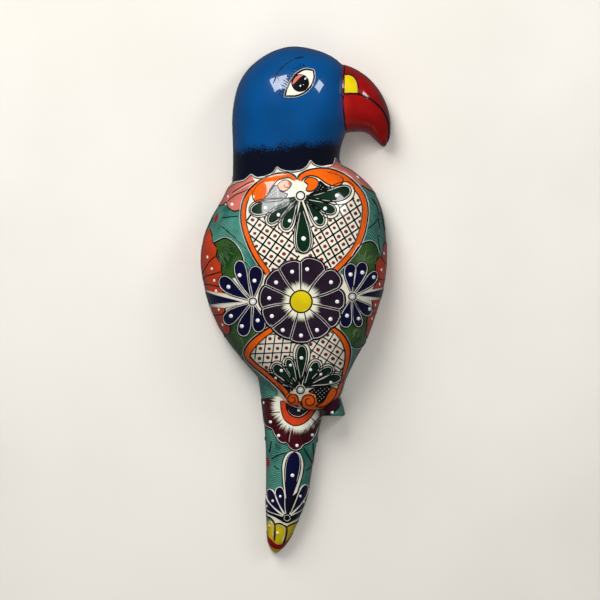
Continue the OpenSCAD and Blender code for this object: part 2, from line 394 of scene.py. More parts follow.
def clay():
    """Matt red earthenware, smeared and wiped by hand, with pale dust in the hollows."""
    n = Nodes("bare_clay")
    blotch = n.smooth_step(n.noise(22, 4), 0.3, 0.7)
    ground = n.mix(blotch, rgb(CLAY_RED, 0.8), rgb(CLAY_RED, 1.2))
    grit = n.noise(700, 3)
    ground = n.mix(n.smooth_step(grit, 0.60, 0.72), ground, rgb(DUST))
    smear = n.noise(30, 4, at=n.scaled((1, 1, 3.5)))
    return n.finish(ground, roughness=0.85, coat=0.0, bumps=[(smear, 0.0008), (grit, 0.00015)])


def iron():
    """Dark annealed wire with rust in patches."""
    n = Nodes("iron_wire")
    rust = n.smooth_step(n.noise(120, 4), 0.52, 0.70)
    colour = n.mix(rust, rgb(IRON), rgb(RUST))
    return n.finish(colour, roughness=0.42, coat=0.0, bumps=[(n.noise(500, 3), 0.0001)], Metallic=0.85)


LOOKS = {
    "cream": (enamel("cream_enamel", CREAM, 0.06), "white_glaze"),
    "white": (enamel("white_enamel", WHITE, 0.04), "white_glaze"),
    "black": (enamel("black_line", BLACK), "black_glaze"),
    "grey": (enamel("grey_line", GREY, 0.2), "white_glaze"),
    "orange": (enamel("orange_enamel", ORANGE, 0.12, 0.5), "orange_glaze"),
    "edge_red": (enamel("orange_red_enamel", EDGE_RED, 0.2, 0.3), "orange_glaze"),
    "red": (enamel("red_enamel", RED, 0.2), "beak_glaze"),
    "green": (enamel("green_enamel", GREEN), "green_glaze"),
    "navy": (enamel("navy_enamel", NAVY, 0.35), "navy_glaze"),
    "dot_red": (enamel("dot_red_enamel", DOT_RED, 0.3), "maroon_glaze"),
    "yellow": (enamel("yellow_enamel", YELLOW, 0.12), "yellow_glaze"),
    "pink": (enamel("pink_enamel", PINK, 0.12, 0.25), "pink_glaze"),
    "plum": (haloed("plum_petals", PLUM, HALO, (5.5, -190), 13, 25), "plum_glaze"),
    "maroon": (haloed("maroon_petals", MAROON, TAIL_HALO, (1.5, -303), 21, 34, 0.93), "maroon_glaze"),
    "plum_disc": (enamel("plum_disc_enamel", PLUM, 0.3), "plum_glaze"),
    "maroon_plain": (enamel("maroon_enamel", FOOT_MAROON, 0.3), "maroon_glaze"),
    "pale_green": (enamel("pale_green_hair", PALE_GREEN, 0.2), "green_glaze"),
    "teal": (brushed("teal_strokes", TEAL, (0, 0.7, 0)), "tail_glaze"),
    "tail": (brushed("tail_strokes", TEAL, (0, 1.3, 0), tip=(-433, YELLOW)), "tail_glaze"),
    "leaf": (brushed("leaf_strokes", LEAF, (0, -0.4, 0), 170, 0.4), "green_glaze"),
}
CLAY_LOOK, IRON_LOOK = clay(), iron()


# ---------------------------------------------------------------- flat drawing
def curve(points, closed=False, step=1.5):
    """A smooth line through the points, with points about step apart."""
    p = np.array(points, float)
    if len(p) == 2 and not closed:
        count = max(2, int(np.linalg.norm(p[1] - p[0]) / step) + 1)
        return p[0] + (p[1] - p[0]) * np.linspace(0, 1, count)[:, None]
    before = p[-1:] if closed else 2 * p[:1] - p[1:2]
    after = p[:2] if closed else 2 * p[-1:] - p[-2:-1]
    q = np.vstack([before, p, after])
    gap = np.sqrt(np.maximum(np.linalg.norm(np.diff(q, axis=0), axis=1), 1e-6))
    pieces = []
    for i in range(1, len(q) - 2):
        a, b, c, d = q[i - 1:i + 3]
        g0, g1, g2 = gap[i - 1:i + 2]
        m1 = (b - a) / g0 - (c - a) / (g0 + g1) + (c - b) / g1
        m2 = (c - b) / g1 - (d - b) / (g1 + g2) + (d - c) / g2
        k = np.linspace(0, 1, max(2, int(np.linalg.norm(c - b) / step) + 1), endpoint=False)[:, None]
        pieces.append((2 * k**3 - 3 * k**2 + 1) * b + (k**3 - 2 * k**2 + k) * m1 * g1
                      + (3 * k**2 - 2 * k**3) * c + (k**3 - k**2) * m2 * g1)
    return np.vstack(pieces if closed else pieces + [p[-1:]])


def cornered(*lines):
    """One closed outline from several smooth lines, with a corner where each begins."""
    return np.vstack([curve(line)[:-1] for line in lines])


def ellipse(angles, centre, half_x, half_z, lean):
    """Points at some angles of an ellipse, turned to its left by lean degrees."""
    x, z = half_x * np.cos(angles), half_z * np.sin(angles)
    turn = math.radians(lean)
    return np.stack([centre[0] + x * math.cos(turn) - z * math.sin(turn),
                     centre[1] + x * math.sin(turn) + z * math.cos(turn)], 1)


def circle(centre, radius, squash=1.0, lean=0.0):
    angles = np.linspace(0, 2 * math.pi, max(12, int(radius * 5)), endpoint=False)
    return ellipse(angles, centre, radius * squash, radius, lean)


def drop(base, tip, width, bend=0.0, point=2.3):
    """A petal with a sharp base and a round tip, bent to its left by bend."""
    base, tip = np.array(base, float), np.array(tip, float)
    length = np.linalg.norm(tip - base)
    a = np.linspace(0, 2 * math.pi, max(24, int(length * 1.6)), endpoint=False)
    across = np.sin(a) * np.abs(np.sin(a / 2)) ** point
    across *= width / 2 / across.max()
    along = (1 - np.cos(a)) / 2
    ahead = (tip - base) / length
    left = np.array([-ahead[1], ahead[0]])
    return base + np.outer(along * length, ahead) + np.outer(across + bend * np.sin(math.pi * along), left)


def widths_along(line, widths):
    """The width at each point of a line, from a few widths spaced evenly along it."""
    return np.interp(np.linspace(0, 1, len(line)), np.linspace(0, 1, len(widths)), widths)[:, None]


def ribbon(points, widths):
    """A band along a smooth line, with widths spaced evenly along it."""
    middle = curve(points)
    out = sideways(middle) * widths_along(middle, widths) / 2
    return np.vstack([middle + out, (middle - out)[::-1]])


def sideways(path, closed=False):
    """The left-hand direction at each point of a line."""
    ahead = (np.roll(path, -1, 0) - np.roll(path, 1, 0)) if closed else np.gradient(path, axis=0)
    ahead = unit(ahead)
    return np.stack([-ahead[:, 1], ahead[:, 0]], 1)


def inset(outline, by):
    """A closed outline moved inwards."""
    x, z = outline[:, 0], outline[:, 1]
    turning = np.sign(np.sum(x * np.roll(z, -1) - np.roll(x, -1) * z))
    return outline + sideways(outline, True) * by * turning


def inside(points, outline):
    """Which flat points lie inside a closed outline."""
    x, z = points[:, 0, None], points[:, 1, None]
    x1, z1 = outline[:, 0], outline[:, 1]
    x2, z2 = np.roll(x1, -1), np.roll(z1, -1)
    rise = np.where(z2 == z1, 1e-9, z2 - z1)
    crosses = ((z1 > z) != (z2 > z)) & (x < (x2 - x1) * (z - z1) / rise + x1)
    return crosses.sum(1) % 2 == 1


# ---------------------------------------------------------------- enamel pads
GRID = 2.4               # spacing of the points inside a pad
GRID_ROW = 0.87          # gap between their rows, in spacings
GRID_CLEAR = 0.7         # least gap between them and the pad's outline
TAPER = 2.5              # length over which a trailed line grows from its first touch
BEAD = ((-0.47, 0.84), (-0.22, 1.0), (0.22, 1.0), (0.47, 0.84))   # shares of a line's width and height
DROP = ((0.45, 0.93), (0.8, 0.68))                                # shares of a dot's radius and height
DROP_SIDES = 12


class Piece:
    """All the pads of one colour in one part of the painting, which make one object."""

    def __init__(self, form, look):
        self.form, self.look = form, look
        self.flat, self.lift, self.faces, self.tops = [], [], [], []
        self.size = 0

    def take(self, flat, lift, faces, tops=0):
        """Adds a pad. The first few of its faces may be its flat top."""
        self.flat.append(flat)
        self.lift.append(lift)
        self.faces += [[i + self.size for i in face] for face in faces]
        self.tops += [True] * tops + [False] * (len(faces) - tops)
        self.size += len(flat)

    def fill(self, outline, lift):
        """A flat pad with an upright border, closed underneath."""
        outline = outline - self.form.past_wall(outline)
        low, high = outline.min(0), outline.max(0)
        xs, zs = np.arange(low[0], high[0], GRID), np.arange(low[1], high[1], GRID * GRID_ROW)
        grid = np.array([[x + (i % 2) * GRID / 2, z] for i, z in enumerate(zs) for x in xs]).reshape(-1, 2)
        grid = grid[inside(grid, outline)]
        nearest = np.sqrt(((grid[:, None] - outline[None]) ** 2).sum(2).min(1))
        given = [Vector(p) for p in np.vstack([outline, grid[nearest > GRID_CLEAR]])]
        verts, _, tops, *_ = delaunay_2d_cdt(given, [], [list(range(len(outline)))], 1, 1e-4)
        flat = np.array([v[:] for v in verts])
        sides = dict.fromkeys((a, b) for face in tops for a, b in zip(face, face[1:] + face[:1]))
        count = len(flat)
        under = [[i + count for i in face[::-1]] for face in tops]
        border = [[b, a, a + count, b + count] for a, b in sides if (b, a) not in sides]
        self.take(np.vstack([flat, flat]), np.repeat([lift, -SUNK], count), [*tops, *under, *border],
                  len(tops))

    def line(self, path, width, top, closed=False, taper=True):
        """A trailed line with a round back."""
        if not closed:
            path = path[np.abs(self.form.past_wall(path)).sum(1) == 0]
        rings = len(path)
        if rings < 3:
            return
        spread = np.full(rings, width)
        if taper and not closed:
            run = lengths(path)
            spread *= np.clip(0.35 + np.minimum(run, run[-1] - run) / TAPER, 0, 1)
        left = sideways(path, closed)
        profile = [(-0.5, -SUNK), *((share, top * rise) for share, rise in BEAD), (0.5, -SUNK)]
        flat = np.concatenate([path + left * (spread * share)[:, None] for share, _ in profile])
        lift = np.repeat([height for _, height in profile], rings)
        sides = len(profile)
        faces = []
        for i in range(rings if closed else rings - 1):
            j = (i + 1) % rings
            for k in range(sides):
                m = (k + 1) % sides
                faces.append([k * rings + i, k * rings + j, m * rings + j, m * rings + i])
        if not closed:
            faces.append([k * rings for k in range(sides)])
            faces.append([k * rings + rings - 1 for k in range(sides)][::-1])
        self.take(flat, lift, faces)

    def dot(self, centre, radius, top, stretch=1.0, lean=0.0):
        """A drop of enamel."""
        angles = np.linspace(0, 2 * math.pi, DROP_SIDES, endpoint=False)
        profile = [*((share, top * rise) for share, rise in DROP), (1.0, -SUNK)]
        flat, lift = [np.array([centre], float)], [top]
        for share, height in profile:
            flat.append(ellipse(angles, centre, radius * share * stretch, radius * share, lean))
            lift += [height] * DROP_SIDES
        faces = [[0, 1 + k, 1 + (k + 1) % DROP_SIDES] for k in range(DROP_SIDES)]
        for ring in range(len(DROP)):
            start = 1 + ring * DROP_SIDES
            for k in range(DROP_SIDES):
                m = (k + 1) % DROP_SIDES
                faces.append([start + k, start + DROP_SIDES + k, start + DROP_SIDES + m, start + m])
        faces.append([1 + len(DROP) * DROP_SIDES + k for k in range(DROP_SIDES)][::-1])
        self.take(np.vstack(flat), lift, faces)


def lengths(path):
    """The distance along a line at each of its points."""
    return np.concatenate([[0], np.cumsum(np.linalg.norm(np.diff(path, axis=0), axis=1))])


pieces = {}


def piece(name, form, look):
    """The piece of that name, made when it is first asked for."""
    if name not in pieces:
        pieces[name] = Piece(form, look)
    return pieces[name]


def build(name, painted):
    """Lays a piece on its form and makes the object."""
    material, slot = LOOKS[painted.look]
    on_clay, out = painted.form.lay_with_normals(np.vstack(painted.flat))
    lift = np.concatenate(painted.lift)
    obj = new_object(name, on_clay + out * lift[:, None], painted.faces, [material])
    mesh = obj.data
    mesh.shade_smooth()
    if any(painted.tops):
        corner_vertex = np.zeros(len(mesh.loops), int)
        mesh.loops.foreach_get("vertex_index", corner_vertex)
        on_top = np.repeat(painted.tops, [len(face) for face in painted.faces])
        mesh.normals_split_custom_set(np.where(on_top[:, None], out[corner_vertex], 0).tolist())
    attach(obj, "plaque")


def new_object(name, points, faces, materials):
    """An object from points in millimetres."""
    mesh = bpy.data.meshes.new(name)
    mesh.from_pydata((points * MM).tolist(), [], faces)
    mesh.update()
    for material in materials:
        mesh.materials.append(material)
    obj = bpy.data.objects.new(name, mesh)
    bpy.context.scene.collection.objects.link(obj)
    return obj


# ---------------------------------------------------------------- clay shells
ROWS, COLUMNS = 12, 121      # of the grid of a clay form: rows for each section, and columns
THUMB = 0.5                  # depth of the thumb marks inside the clay
BEHIND = 20                  # how far cutters reach past the wall plane
POLE = 0.5                   # an end ring smaller than this is closed already


def ring_faces(count, around, closed=False):
    """Faces between rings of points, each joined to the next one."""
    return [[i * around + k, i * around + (k + 1) % around,
             (i + 1) % count * around + (k + 1) % around, (i + 1) % count * around + k]
            for i in range(count if closed else count - 1) for k in range(around)]


def ring_angles(sides):
    return np.arange(sides) * 2 * math.pi / sides


def clay_object(name, rings, faces, materials, marks=None):
    """A closed object. marks gives the material of each face, where it has more than one."""
    obj = new_object(name, rings.reshape(-1, 3), faces, materials)
    if marks:
        obj.data.polygons.foreach_set("material_index", marks)
    weld(obj.data)
    return obj


def weld(mesh):
    """Merges the points that meet at poles, and turns every face outwards."""
    bm = bmesh.new()
    bm.from_mesh(mesh)
    bmesh.ops.remove_doubles(bm, verts=bm.verts, dist=2e-6)
    bmesh.ops.dissolve_degenerate(bm, edges=bm.edges, dist=1e-7)
    bmesh.ops.recalc_face_normals(bm, faces=bm.faces)
    bm.to_mesh(mesh)
    bm.free()


def smooth(mesh, degrees):
    """Smooth shading, but for the edges sharper than an angle."""
    mesh.shade_smooth()
    mesh.set_sharp_from_angle(angle=math.radians(degrees))


def stand_for(obj, node):
    """Puts a clay piece in the place of its CAD node."""
    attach(obj, "plaque")
    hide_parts(node)


def shell(name, form, first, last, glaze, node):
    """A pressed clay shell: smooth outside, hand-thinned inside, and a rim on the wall plane."""
    t = np.linspace(first, last, (last - first) * ROWS + 1)
    outer, out, v = waved_grid(form, t, COLUMNS)
    thumbed = THUMB * np.sin(outer[:, 0] / 9 + 1.3 * np.sin(outer[:, 2] / 15)) * v
    inner = outer - out * (CLAY + thumbed)[:, None]
    inner[:, 1] = np.where(v == 0, WALL, np.minimum(inner[:, 1], WALL))
    inner = inner.reshape(len(t), COLUMNS, 3)[:, ::-1]
    for row, is_pole in ((0, first == 0), (-1, last == form.count - 1)):
        if is_pole:
            inner[row] = inner[row].mean(0)
            inner[row, :, 1] = WALL
    around = 2 * COLUMNS
    faces = ring_faces(len(t), around)
    marks = [0 if k < COLUMNS - 1 else 1 for _ in t[1:] for k in range(around)]
    for row, is_open in ((0, first > 0), (len(t) - 1, last < form.count - 1)):
        start, end = row * around, (row + 1) * around - 1
        for k in range(COLUMNS - 1 if is_open else 0):
            faces.append([start + k, start + k + 1, end - 1 - k, end - k])
            marks.append(1)
    rings = np.concatenate([outer.reshape(len(t), COLUMNS, 3), inner], 1)
    obj = clay_object(name, rings, faces, [glaze, CLAY_LOOK], marks)
    smooth(obj.data, 50)
    stand_for(obj, node)


def surface_normals(form, t, angle, rows):
    """The way out of the clay at each grid point, from small steps along and across it."""
    step, edge = 1e-3, 0.02
    angles = np.tile(np.clip(angle, edge, math.pi - edge), rows)
    t = np.clip(t, form.low, form.high)
    here = form.surface(t, *arc_point(angles))
    along = form.surface(t + step, *arc_point(angles)) - here
    across = form.surface(t, *arc_point(angles + step)) - here
    out = unit(np.cross(along, across))
    flat_rim = np.tile((angle < 1e-6) | (angle > math.pi - 1e-6), rows)
    out[flat_rim, 1] = 0
    x = here[:, 0].reshape(rows, -1)
    off_middle = (x - x[:, [0, -1]].mean(1, keepdims=True)).ravel()
    outwards = np.sign((out[:, 0] * off_middle).sum())
    return unit(out) * (outwards if outwards else 1)


def arc_shares(columns):
    """Angles from the right edge to the left one, with their shares of half width and depth."""
    angle = np.linspace(math.pi, 0, columns)
    u, v = arc_point(angle)
    v[[0, -1]] = 0
    return angle, u, v


def waved_grid(form, t, columns):
    """A grid of points on the outside of the clay, the way out at each, and its share of the depth."""
    angle, u, v = arc_shares(columns)
    rows = len(t)
    t, u, v = np.repeat(t, columns), np.tile(u, rows), np.tile(v, rows)
    return (*waved(form.surface(t, u, v), surface_normals(form, t, angle, rows)), v)


def drawn_in(sections, by):
    """The sections of a form that lies inside another, by the same distance all round."""
    rows = Form(sections).rows
    chord, middles = rows[1, 2:4] - rows[1, :2], rows[:, :2] + rows[:, 2:4]
    way = middles[-2] - middles[1] if np.any(chord) else np.array([0, -1.0])
    chord = chord if np.any(chord) else np.array([1.0, 0])
    side = np.sign(chord[0] * way[1] - chord[1] * way[0])
    result = []
    for i, row in enumerate(rows[1:-1]):
        step = unit((rows[i + 2] - rows[i])[:4].reshape(2, 2))
        pole = np.allclose(row[:2], row[2:4])
        if i == 0 and not pole:
            moves = by * np.array([unit(chord), -unit(chord)])
        else:
            moves = by * side * np.array([[step[0, 1], -step[0, 0]], [-step[1, 1], step[1, 0]]])
        result.append([*(row[:4] + moves.ravel()), 0 if pole else row[4] - by])
    return result


def solid(name, form, glaze=None, behind=0, rows=8, columns=81, inside_clay=False):
    """The closed solid between a form and the wall plane, or a plane behind it.

    It is uneven and glazed as the real clay is if it has a glaze, and plain if it is a cutter.
    """
    t = np.linspace(0, form.count - 1, (form.count - 1) * rows + 1)
    if glaze:
        grid = waved_grid(form, t, columns)[0]
    else:
        _, u, v = arc_shares(columns)
        grid = form.surface(np.repeat(t, columns), np.tile(u, len(t)), np.tile(v, len(t)))
    grid = grid.reshape(len(t), columns, 3)
    if behind:
        grid = np.concatenate([grid[:, :1], grid, grid[:, -1:]], 1)
        grid[:, [0, -1], 1] += behind
    around = grid.shape[1]
    faces = ring_faces(len(t), around)
    marks = [1 if inside_clay or k == around - 1 else 0 for _ in t[1:] for k in range(around)]
    for row in (0, len(t) - 1):
        if np.ptp(grid[row], 0).max() > POLE:
            faces.append([row * around + k for k in range(around)])
            marks.append(1)
    return clay_object(name, grid, faces, [glaze or CLAY_LOOK, CLAY_LOOK], marks)


def cut_shell(name, form, cutters, glaze, node):
    """A clay part with its hollow and the body's room cut away, so that it grows out of the wall."""
    obj = solid(name, form, glaze, rows=ROWS, columns=COLUMNS)
    for cutter in cutters:
        modifier = obj.modifiers.new("cut", "BOOLEAN")
        modifier.operation, modifier.solver, modifier.material_mode = "DIFFERENCE", "EXACT", "INDEX"
        modifier.object = cutter
    bpy.context.view_layer.update()
    carved = bpy.data.meshes.new_from_object(obj.evaluated_get(bpy.context.evaluated_depsgraph_get()))
    obj.modifiers.clear()
    obj.data = carved
    carved.name = name
    smooth(carved, 40)
    stand_for(obj, node)


def smear(name, path, inwards, tall, deep, node):
    """Soft clay pressed along a seam by fingertips. Its far half is buried in the wall."""
    buried = 3.5
    up = np.cross(inwards, unit(np.gradient(path, axis=0)))
    run = lengths(path)
    press = 0.5 + 0.5 * np.cos(run / 13 * 2 * math.pi + 1.5 * np.sin(run / 31))
    ends = np.clip(np.minimum(run, run[-1] - run) / 9 + 0.12, 0, 1) ** 0.6
    angle = ring_angles(20)
    cos, sin = np.cos(angle), np.sin(angle)
    rings = []
    for i, at in enumerate(path):
        rise = np.where(sin > 0, deep * (0.72 + 0.28 * press[i]), buried) * ends[i]
        drag = 0.10 * np.sin(run[i] / 4.3 + 2 * sin)
        spread = tall * ends[i] * (0.86 + 0.14 * press[i] + 0.5 * drag)
        rings.append(at + np.outer(cos * spread, up[i]) + np.outer(sin * rise * (1 + drag), inwards[i]))
    tube(name, np.array(rings), CLAY_LOOK, "plaque", node)


def tube(name, rings, material, body, node, closed=False):
    """A closed skin through rings of points."""
    count, sides = rings.shape[:2]
    faces = ring_faces(count, sides, closed)
    if not closed:
        faces += [list(range(sides)), [(count - 1) * sides + k for k in range(sides)]]
    obj = clay_object(name, rings, faces, [material])
    smooth(obj.data, 60)
    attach(obj, body)
    if node:
        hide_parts(node)


def inner_wall(form, t, angle):
    """Points on the inside of a clay wall, and the way into the hollow."""
    points, into = [], []
    for one_t, one_angle in zip(np.clip(t, form.low, form.high), angle):
        grid, out, _ = waved_grid(form, np.array([one_t]), 181)
        k = round(180 - math.degrees(one_angle))
        points.append(grid[k] - out[k] * CLAY)
        into.append(-out[k])
    return np.array(points), np.array(into)


def neck_seam():
    """Soft clay over the seam between head and breast."""
    angle = np.radians(np.linspace(167, 13, 120))
    path, into = inner_wall(body_form, NECK + 0.15 + 0.05 * np.sin(angle * 5), angle)
    smear("neck_seam_clay", path, into, 8.0, 5.8, "neck_coil")


def tail_seam(hollow):
    """Soft clay where the tail's inner wall meets the underside of the breast, found by halving."""
    angle = np.radians(np.linspace(158, 22, 70))
    u, v = arc_point(angle)
    low, high = np.full(len(angle), 0.1), np.full(len(angle), 3.5)
    for _ in range(16):
        middle = (low + high) / 2
        within = body_form.holds(hollow.surface(middle, u, v))
        low, high = np.where(within, middle, low), np.where(within, high, middle)
    path = hollow.surface(high + 0.06, u, v)
    into = unit((np.array([-6.0, WALL, 0]) - path) * [1, 1, 0])
    smear("tail_seam_clay", path, into, 6.0, 4.6, "tail_coil")


def strap():
    """A hand-rolled bar of clay across the shoulders, pressed into the walls at both ends."""
    middle, reach, height, squareness = 1.5, 68.3, -55, 0.7
    angle = ring_angles(28)
    cos, sin = np.cos(angle), np.sin(angle)
    rings = []
    for s in np.linspace(-1, 1, 90):
        x = middle + reach * s
        flare = abs(s) ** 9
        roll = 0.35 * math.sin(x / 6.5) + 0.25 * math.sin(x / 3.1 + 1)
        half_z, half_y = 6.6 + 1.4 * flare + 0.4 * roll, 4.4 + 0.8 * flare + 0.3 * roll
        z = height + half_z * np.sign(sin) * np.abs(sin) ** squareness
        y = -1.0 + 0.25 * math.sin(x / 9) + half_y * np.sign(cos) * np.abs(cos) ** squareness
        slope = 0.9 * max(s, 0) ** 6 * (height - z)
        rings.append(np.stack([x + slope, np.minimum(y, WALL - 0.6), z], 1))
    tube("strap_bar", np.array(rings), CLAY_LOOK, "plaque", "hanging_strap")


PIVOT = -40      # height of the lug's hole, on the plane y = 0


def lug():
    """The pierced lug on the strap, with rounded ends, that the wire runs through."""
    bore, half_width, up_to_strap, back = 1.55, 5.0, 14.0, 4.6
    angle = ring_angles(36)
    cos, sin = np.cos(angle), np.sin(angle)
    straight = np.minimum(half_width / np.maximum(np.abs(cos), 1e-6),
                          up_to_strap / np.maximum(np.abs(sin), 1e-6))
    reach = np.where(sin > 0, half_width, straight)
    rings = []
    for x, share in ((-10, 0.0), (-10, 0.8), (-9.3, 0.95), (-7.5, 1.0), (7.5, 1.0), (9.3, 0.95), (10, 0.8),
                     (10, 0.0)):
        radius = bore + (reach - bore) * share
        rings.append(np.stack([np.full(len(angle), x), np.minimum(radius * cos, back),
                               PIVOT + radius * sin], 1))
    tube("strap_lug", np.array(rings), CLAY_LOOK, "plaque", None, closed=True)


def wire():
    """The iron loop, a little uneven from being bent by hand."""
    def bend(centre, radius, start, stop, count):
        a = np.radians(np.linspace(start, stop, count))
        return np.stack([centre[0] + radius * np.cos(a), centre[1] + radius * np.sin(a)], 1)
    lean, corner = 23.57, 14.36
    path = np.vstack([np.stack([np.linspace(-corner, corner, 30)[:-1], np.full(29, float(PIVOT))], 1),
                      bend((corner, -35), 5, -90, lean, 18),
                      np.linspace((18.94, -33.0), (5.5, -2.2), 26)[1:-1],
                      bend((0, -4.58), 6, lean, 180 - lean, 22),
                      np.linspace((-5.5, -2.2), (-18.94, -33.0), 26)[1:-1],
                      bend((-corner, -35), 5, 180 - lean, 270, 18)[:-1]])
    angle = ring_angles(18)
    rings = []
    for i, (at, way) in enumerate(zip(path, sideways(path, True))):
        radius = 1.40 + 0.015 * math.sin(i / 3)
        out = radius * np.cos(angle)
        rings.append(np.stack([at[0] + out * way[0], radius * np.sin(angle), at[1] + out * way[1]], 1))
    tube("wire_loop", np.array(rings), IRON_LOOK, "hanger", "wire_hanger", closed=True)


shell("head", body_form, 0, NECK, head_glaze(), "head_shell")
shell("breast", body_form, NECK, body_form.count - 1, LOOKS["cream"][0], "breast_shell")

beak_hollow = Form(drawn_in(BEAK[:6] + [[100, -6, 100, -6, 0]], CLAY))
tail_hollow = Form(drawn_in(TAIL[:8] + [[-20, -462, -20, -462, 0]], CLAY))
body_core = solid("body_core", Form(drawn_in(BODY, 3)), behind=BEHIND, columns=61)
tail_core = solid("tail_core", Form(drawn_in(TAIL, 3)), behind=BEHIND, columns=61)
beak_room = solid("beak_room", beak_hollow, behind=BEHIND, inside_clay=True)
tail_room = solid("tail_room", tail_hollow, behind=BEHIND, inside_clay=True)
cut_shell("beak_shell", beak_form, [beak_room, body_core], beak_glaze(), "beak")
cut_shell("tail_wall", tail_form, [tail_room, body_core], LOOKS["tail"][0], "tail_shell")
cut_shell("foot", foot_form, [body_core, tail_core], LOOKS["teal"][0], "foot_stub")
for cutter in (body_core, tail_core, beak_room, tail_room):
    bpy.data.objects.remove(cutter)
neck_seam()
tail_seam(tail_hollow)
strap()
lug()
wire()


# ---------------------------------------------------------------- painting
# Heights of the enamel layers over the clay. A motif that lies over another is raised, by RAISED or so.
GROUND, PATCH, OVER, SPOT, MESH, MARGIN, FILL = 0.06, 0.10, 0.18, 0.28, 0.40, 0.42, 0.52
GREY_TOP, LINE_TOP, DOT_TOP, RAISED = 0.72, 0.78, 1.0, 0.38
HEART = 0.20         # the pale ground of the hearts


class Motif:
    """One part of the painting. Its pads are gathered into one piece for each colour."""

    def __init__(self, name, form, raised=0.0):
        self.name, self.form, self.raised = name, form, raised

    def part(self, kind, look):
        return piece(f"{self.name}_{kind}", self.form, look)

    def fill(self, look, outline, lift=FILL):
        self.part(look, look).fill(outline, lift + self.raised)

    def line(self, path, width=1.3, closed=False):
        self.part("lines", "black").line(path, width, LINE_TOP + self.raised, closed)

    def strokes(self, *lines, width=1.3):
        """Black lines, each smooth through its points."""
        for points in lines:
            self.line(curve(points), width)

    def thin(self, path, width=0.75, closed=False, look="grey"):
        self.part(f"{look}_lines", look).line(path, width, GREY_TOP + self.raised, closed)

    def dot(self, centre, radius=1.9, look="white", stretch=1.0, lean=0.0):
        self.part(f"{look}_dots", look).dot(centre, radius, DOT_TOP + self.raised, stretch, lean)

    def outlined(self, look, outline, lift=FILL, width=1.3):
        self.fill(look, outline, lift)
        self.line(outline, width, closed=True)

    def petal(self, look, base, tip, width, bend, dot, margin, size):
        """A petal with a black line and a grey line just inside it, in a pale margin."""
        base, tip = np.array(base, float), np.array(tip, float)
        around = drop(base, tip + unit(tip - base) * margin, width + 2 * max(margin, 2.0), bend)
        self.fill("cream", around, MARGIN)
        self.line(open_base(around, 0.26), 1.1)
        shape = drop(base, tip, width, bend)
        self.fill(look, shape)
        self.line(open_base(shape, 0.10), 1.2)
        self.thin(open_base(inset(shape, 1.1), 0.34))
        self.dot(dot, size)

    def dark_petal(self, look, base, tip, width, bend, dot, size):
        """A petal with no margin: a pale line on its edge and a thin black one round that."""
        shape = drop(base, tip, width, bend)
        self.fill(look, shape)
        self.thin(open_base(shape, 0.06))
        self.line(open_base(inset(shape, -0.9), 0.08), 0.8)
        self.dot(dot, size)

    def ring(self, centre, radius):
        """The eye of a flower: a pale, a black and a grey disc and a white dot, each smaller and higher."""
        for look, share, lift in (("cream", 1.14, 0.03), ("black", 1.0, 0.10), ("grey", 0.70, 0.17)):
            self.fill(look, circle(centre, radius * share), LINE_TOP + lift)
        self.part("white_dots", "white").dot(centre, radius * 0.52, DOT_TOP + self.raised + 0.15)


def open_base(outline, share):
    """A drop's outline without the stretch next to its base."""
    cut = int(len(outline) * share / 2)
    return outline[cut:len(outline) - cut]


def band(motif, outer, widths, side, bare=0.0):
    """An orange band beside a smooth outer line. Its inner line is left out for a share of its length."""
    edge = curve(outer)
    inner = edge + sideways(edge) * side * widths_along(edge, widths)
    motif.fill("orange", np.vstack([edge, inner[::-1]]))
    motif.line(edge, 1.9)
    motif.line(inner[int(bare * len(edge)):], 1.2)
    motif.thin(edge - sideways(edge) * side * 1.35, 0.6)


def cells(reach):
    """The steps of a grid that runs as many cells each way from its middle."""
    return [(i, j) for i in range(-reach, reach + 1) for j in range(-reach, reach + 1)]


def lattice(motif, region, origin, first, second, line=1.9, dot=2.3):
    """Crossed black lines with a red dot in each cell, cut off at the region's outline."""
    reach, steps, least = 14, 400, 6
    origin, first, second = (np.array(v, float) for v in (origin, first, second))
    for along, across in ((first, second), (second, first)):
        for i in range(-reach, reach + 1):
            path = origin + (i + 0.5) * across + np.linspace(-reach, reach, steps)[:, None] * along
            kept = inside(path, region)
            ends = np.flatnonzero(np.diff(np.concatenate([[0], kept.astype(int), [0]])))
            for a, b in zip(ends[::2], ends[1::2]):
                if b - a > least:
                    motif.part("mesh_lines", "black").line(path[a:b:4], line, MESH + motif.raised,
                                                           taper=False)
    places = np.array([origin + i * first + j * second for i, j in cells(reach)])
    for n, place in enumerate(places[inside(places, inset(region, 1.2))]):
        wobble = 0.35 * np.array([math.sin(2.3 * n), math.cos(3.1 * n)])
        radius = dot * (1 + 0.1 * math.sin(1.7 * n))
        motif.part("mesh_dots", "dot_red").dot(place + wobble, radius, MESH, 1.1, 40 * math.sin(n))


def fine_mesh(motif, outline, lean):
    """A small black patch with pale checks."""
    pitch, radius = 3.1, 1.0
    motif.fill("black", outline, FILL - 0.06)
    turn = math.radians(lean)
    across, up = heading(turn) * pitch, heading(turn + math.pi / 2) * pitch
    middle = outline.mean(0)
    checks = np.array([middle + i * across + j * up for i, j in cells(16)])
    for check in checks[inside(checks, inset(outline, 0.9))]:
        motif.part("checks", "cream").dot(check, radius, FILL + 0.08)
    motif.line(outline, 0.9, closed=True)


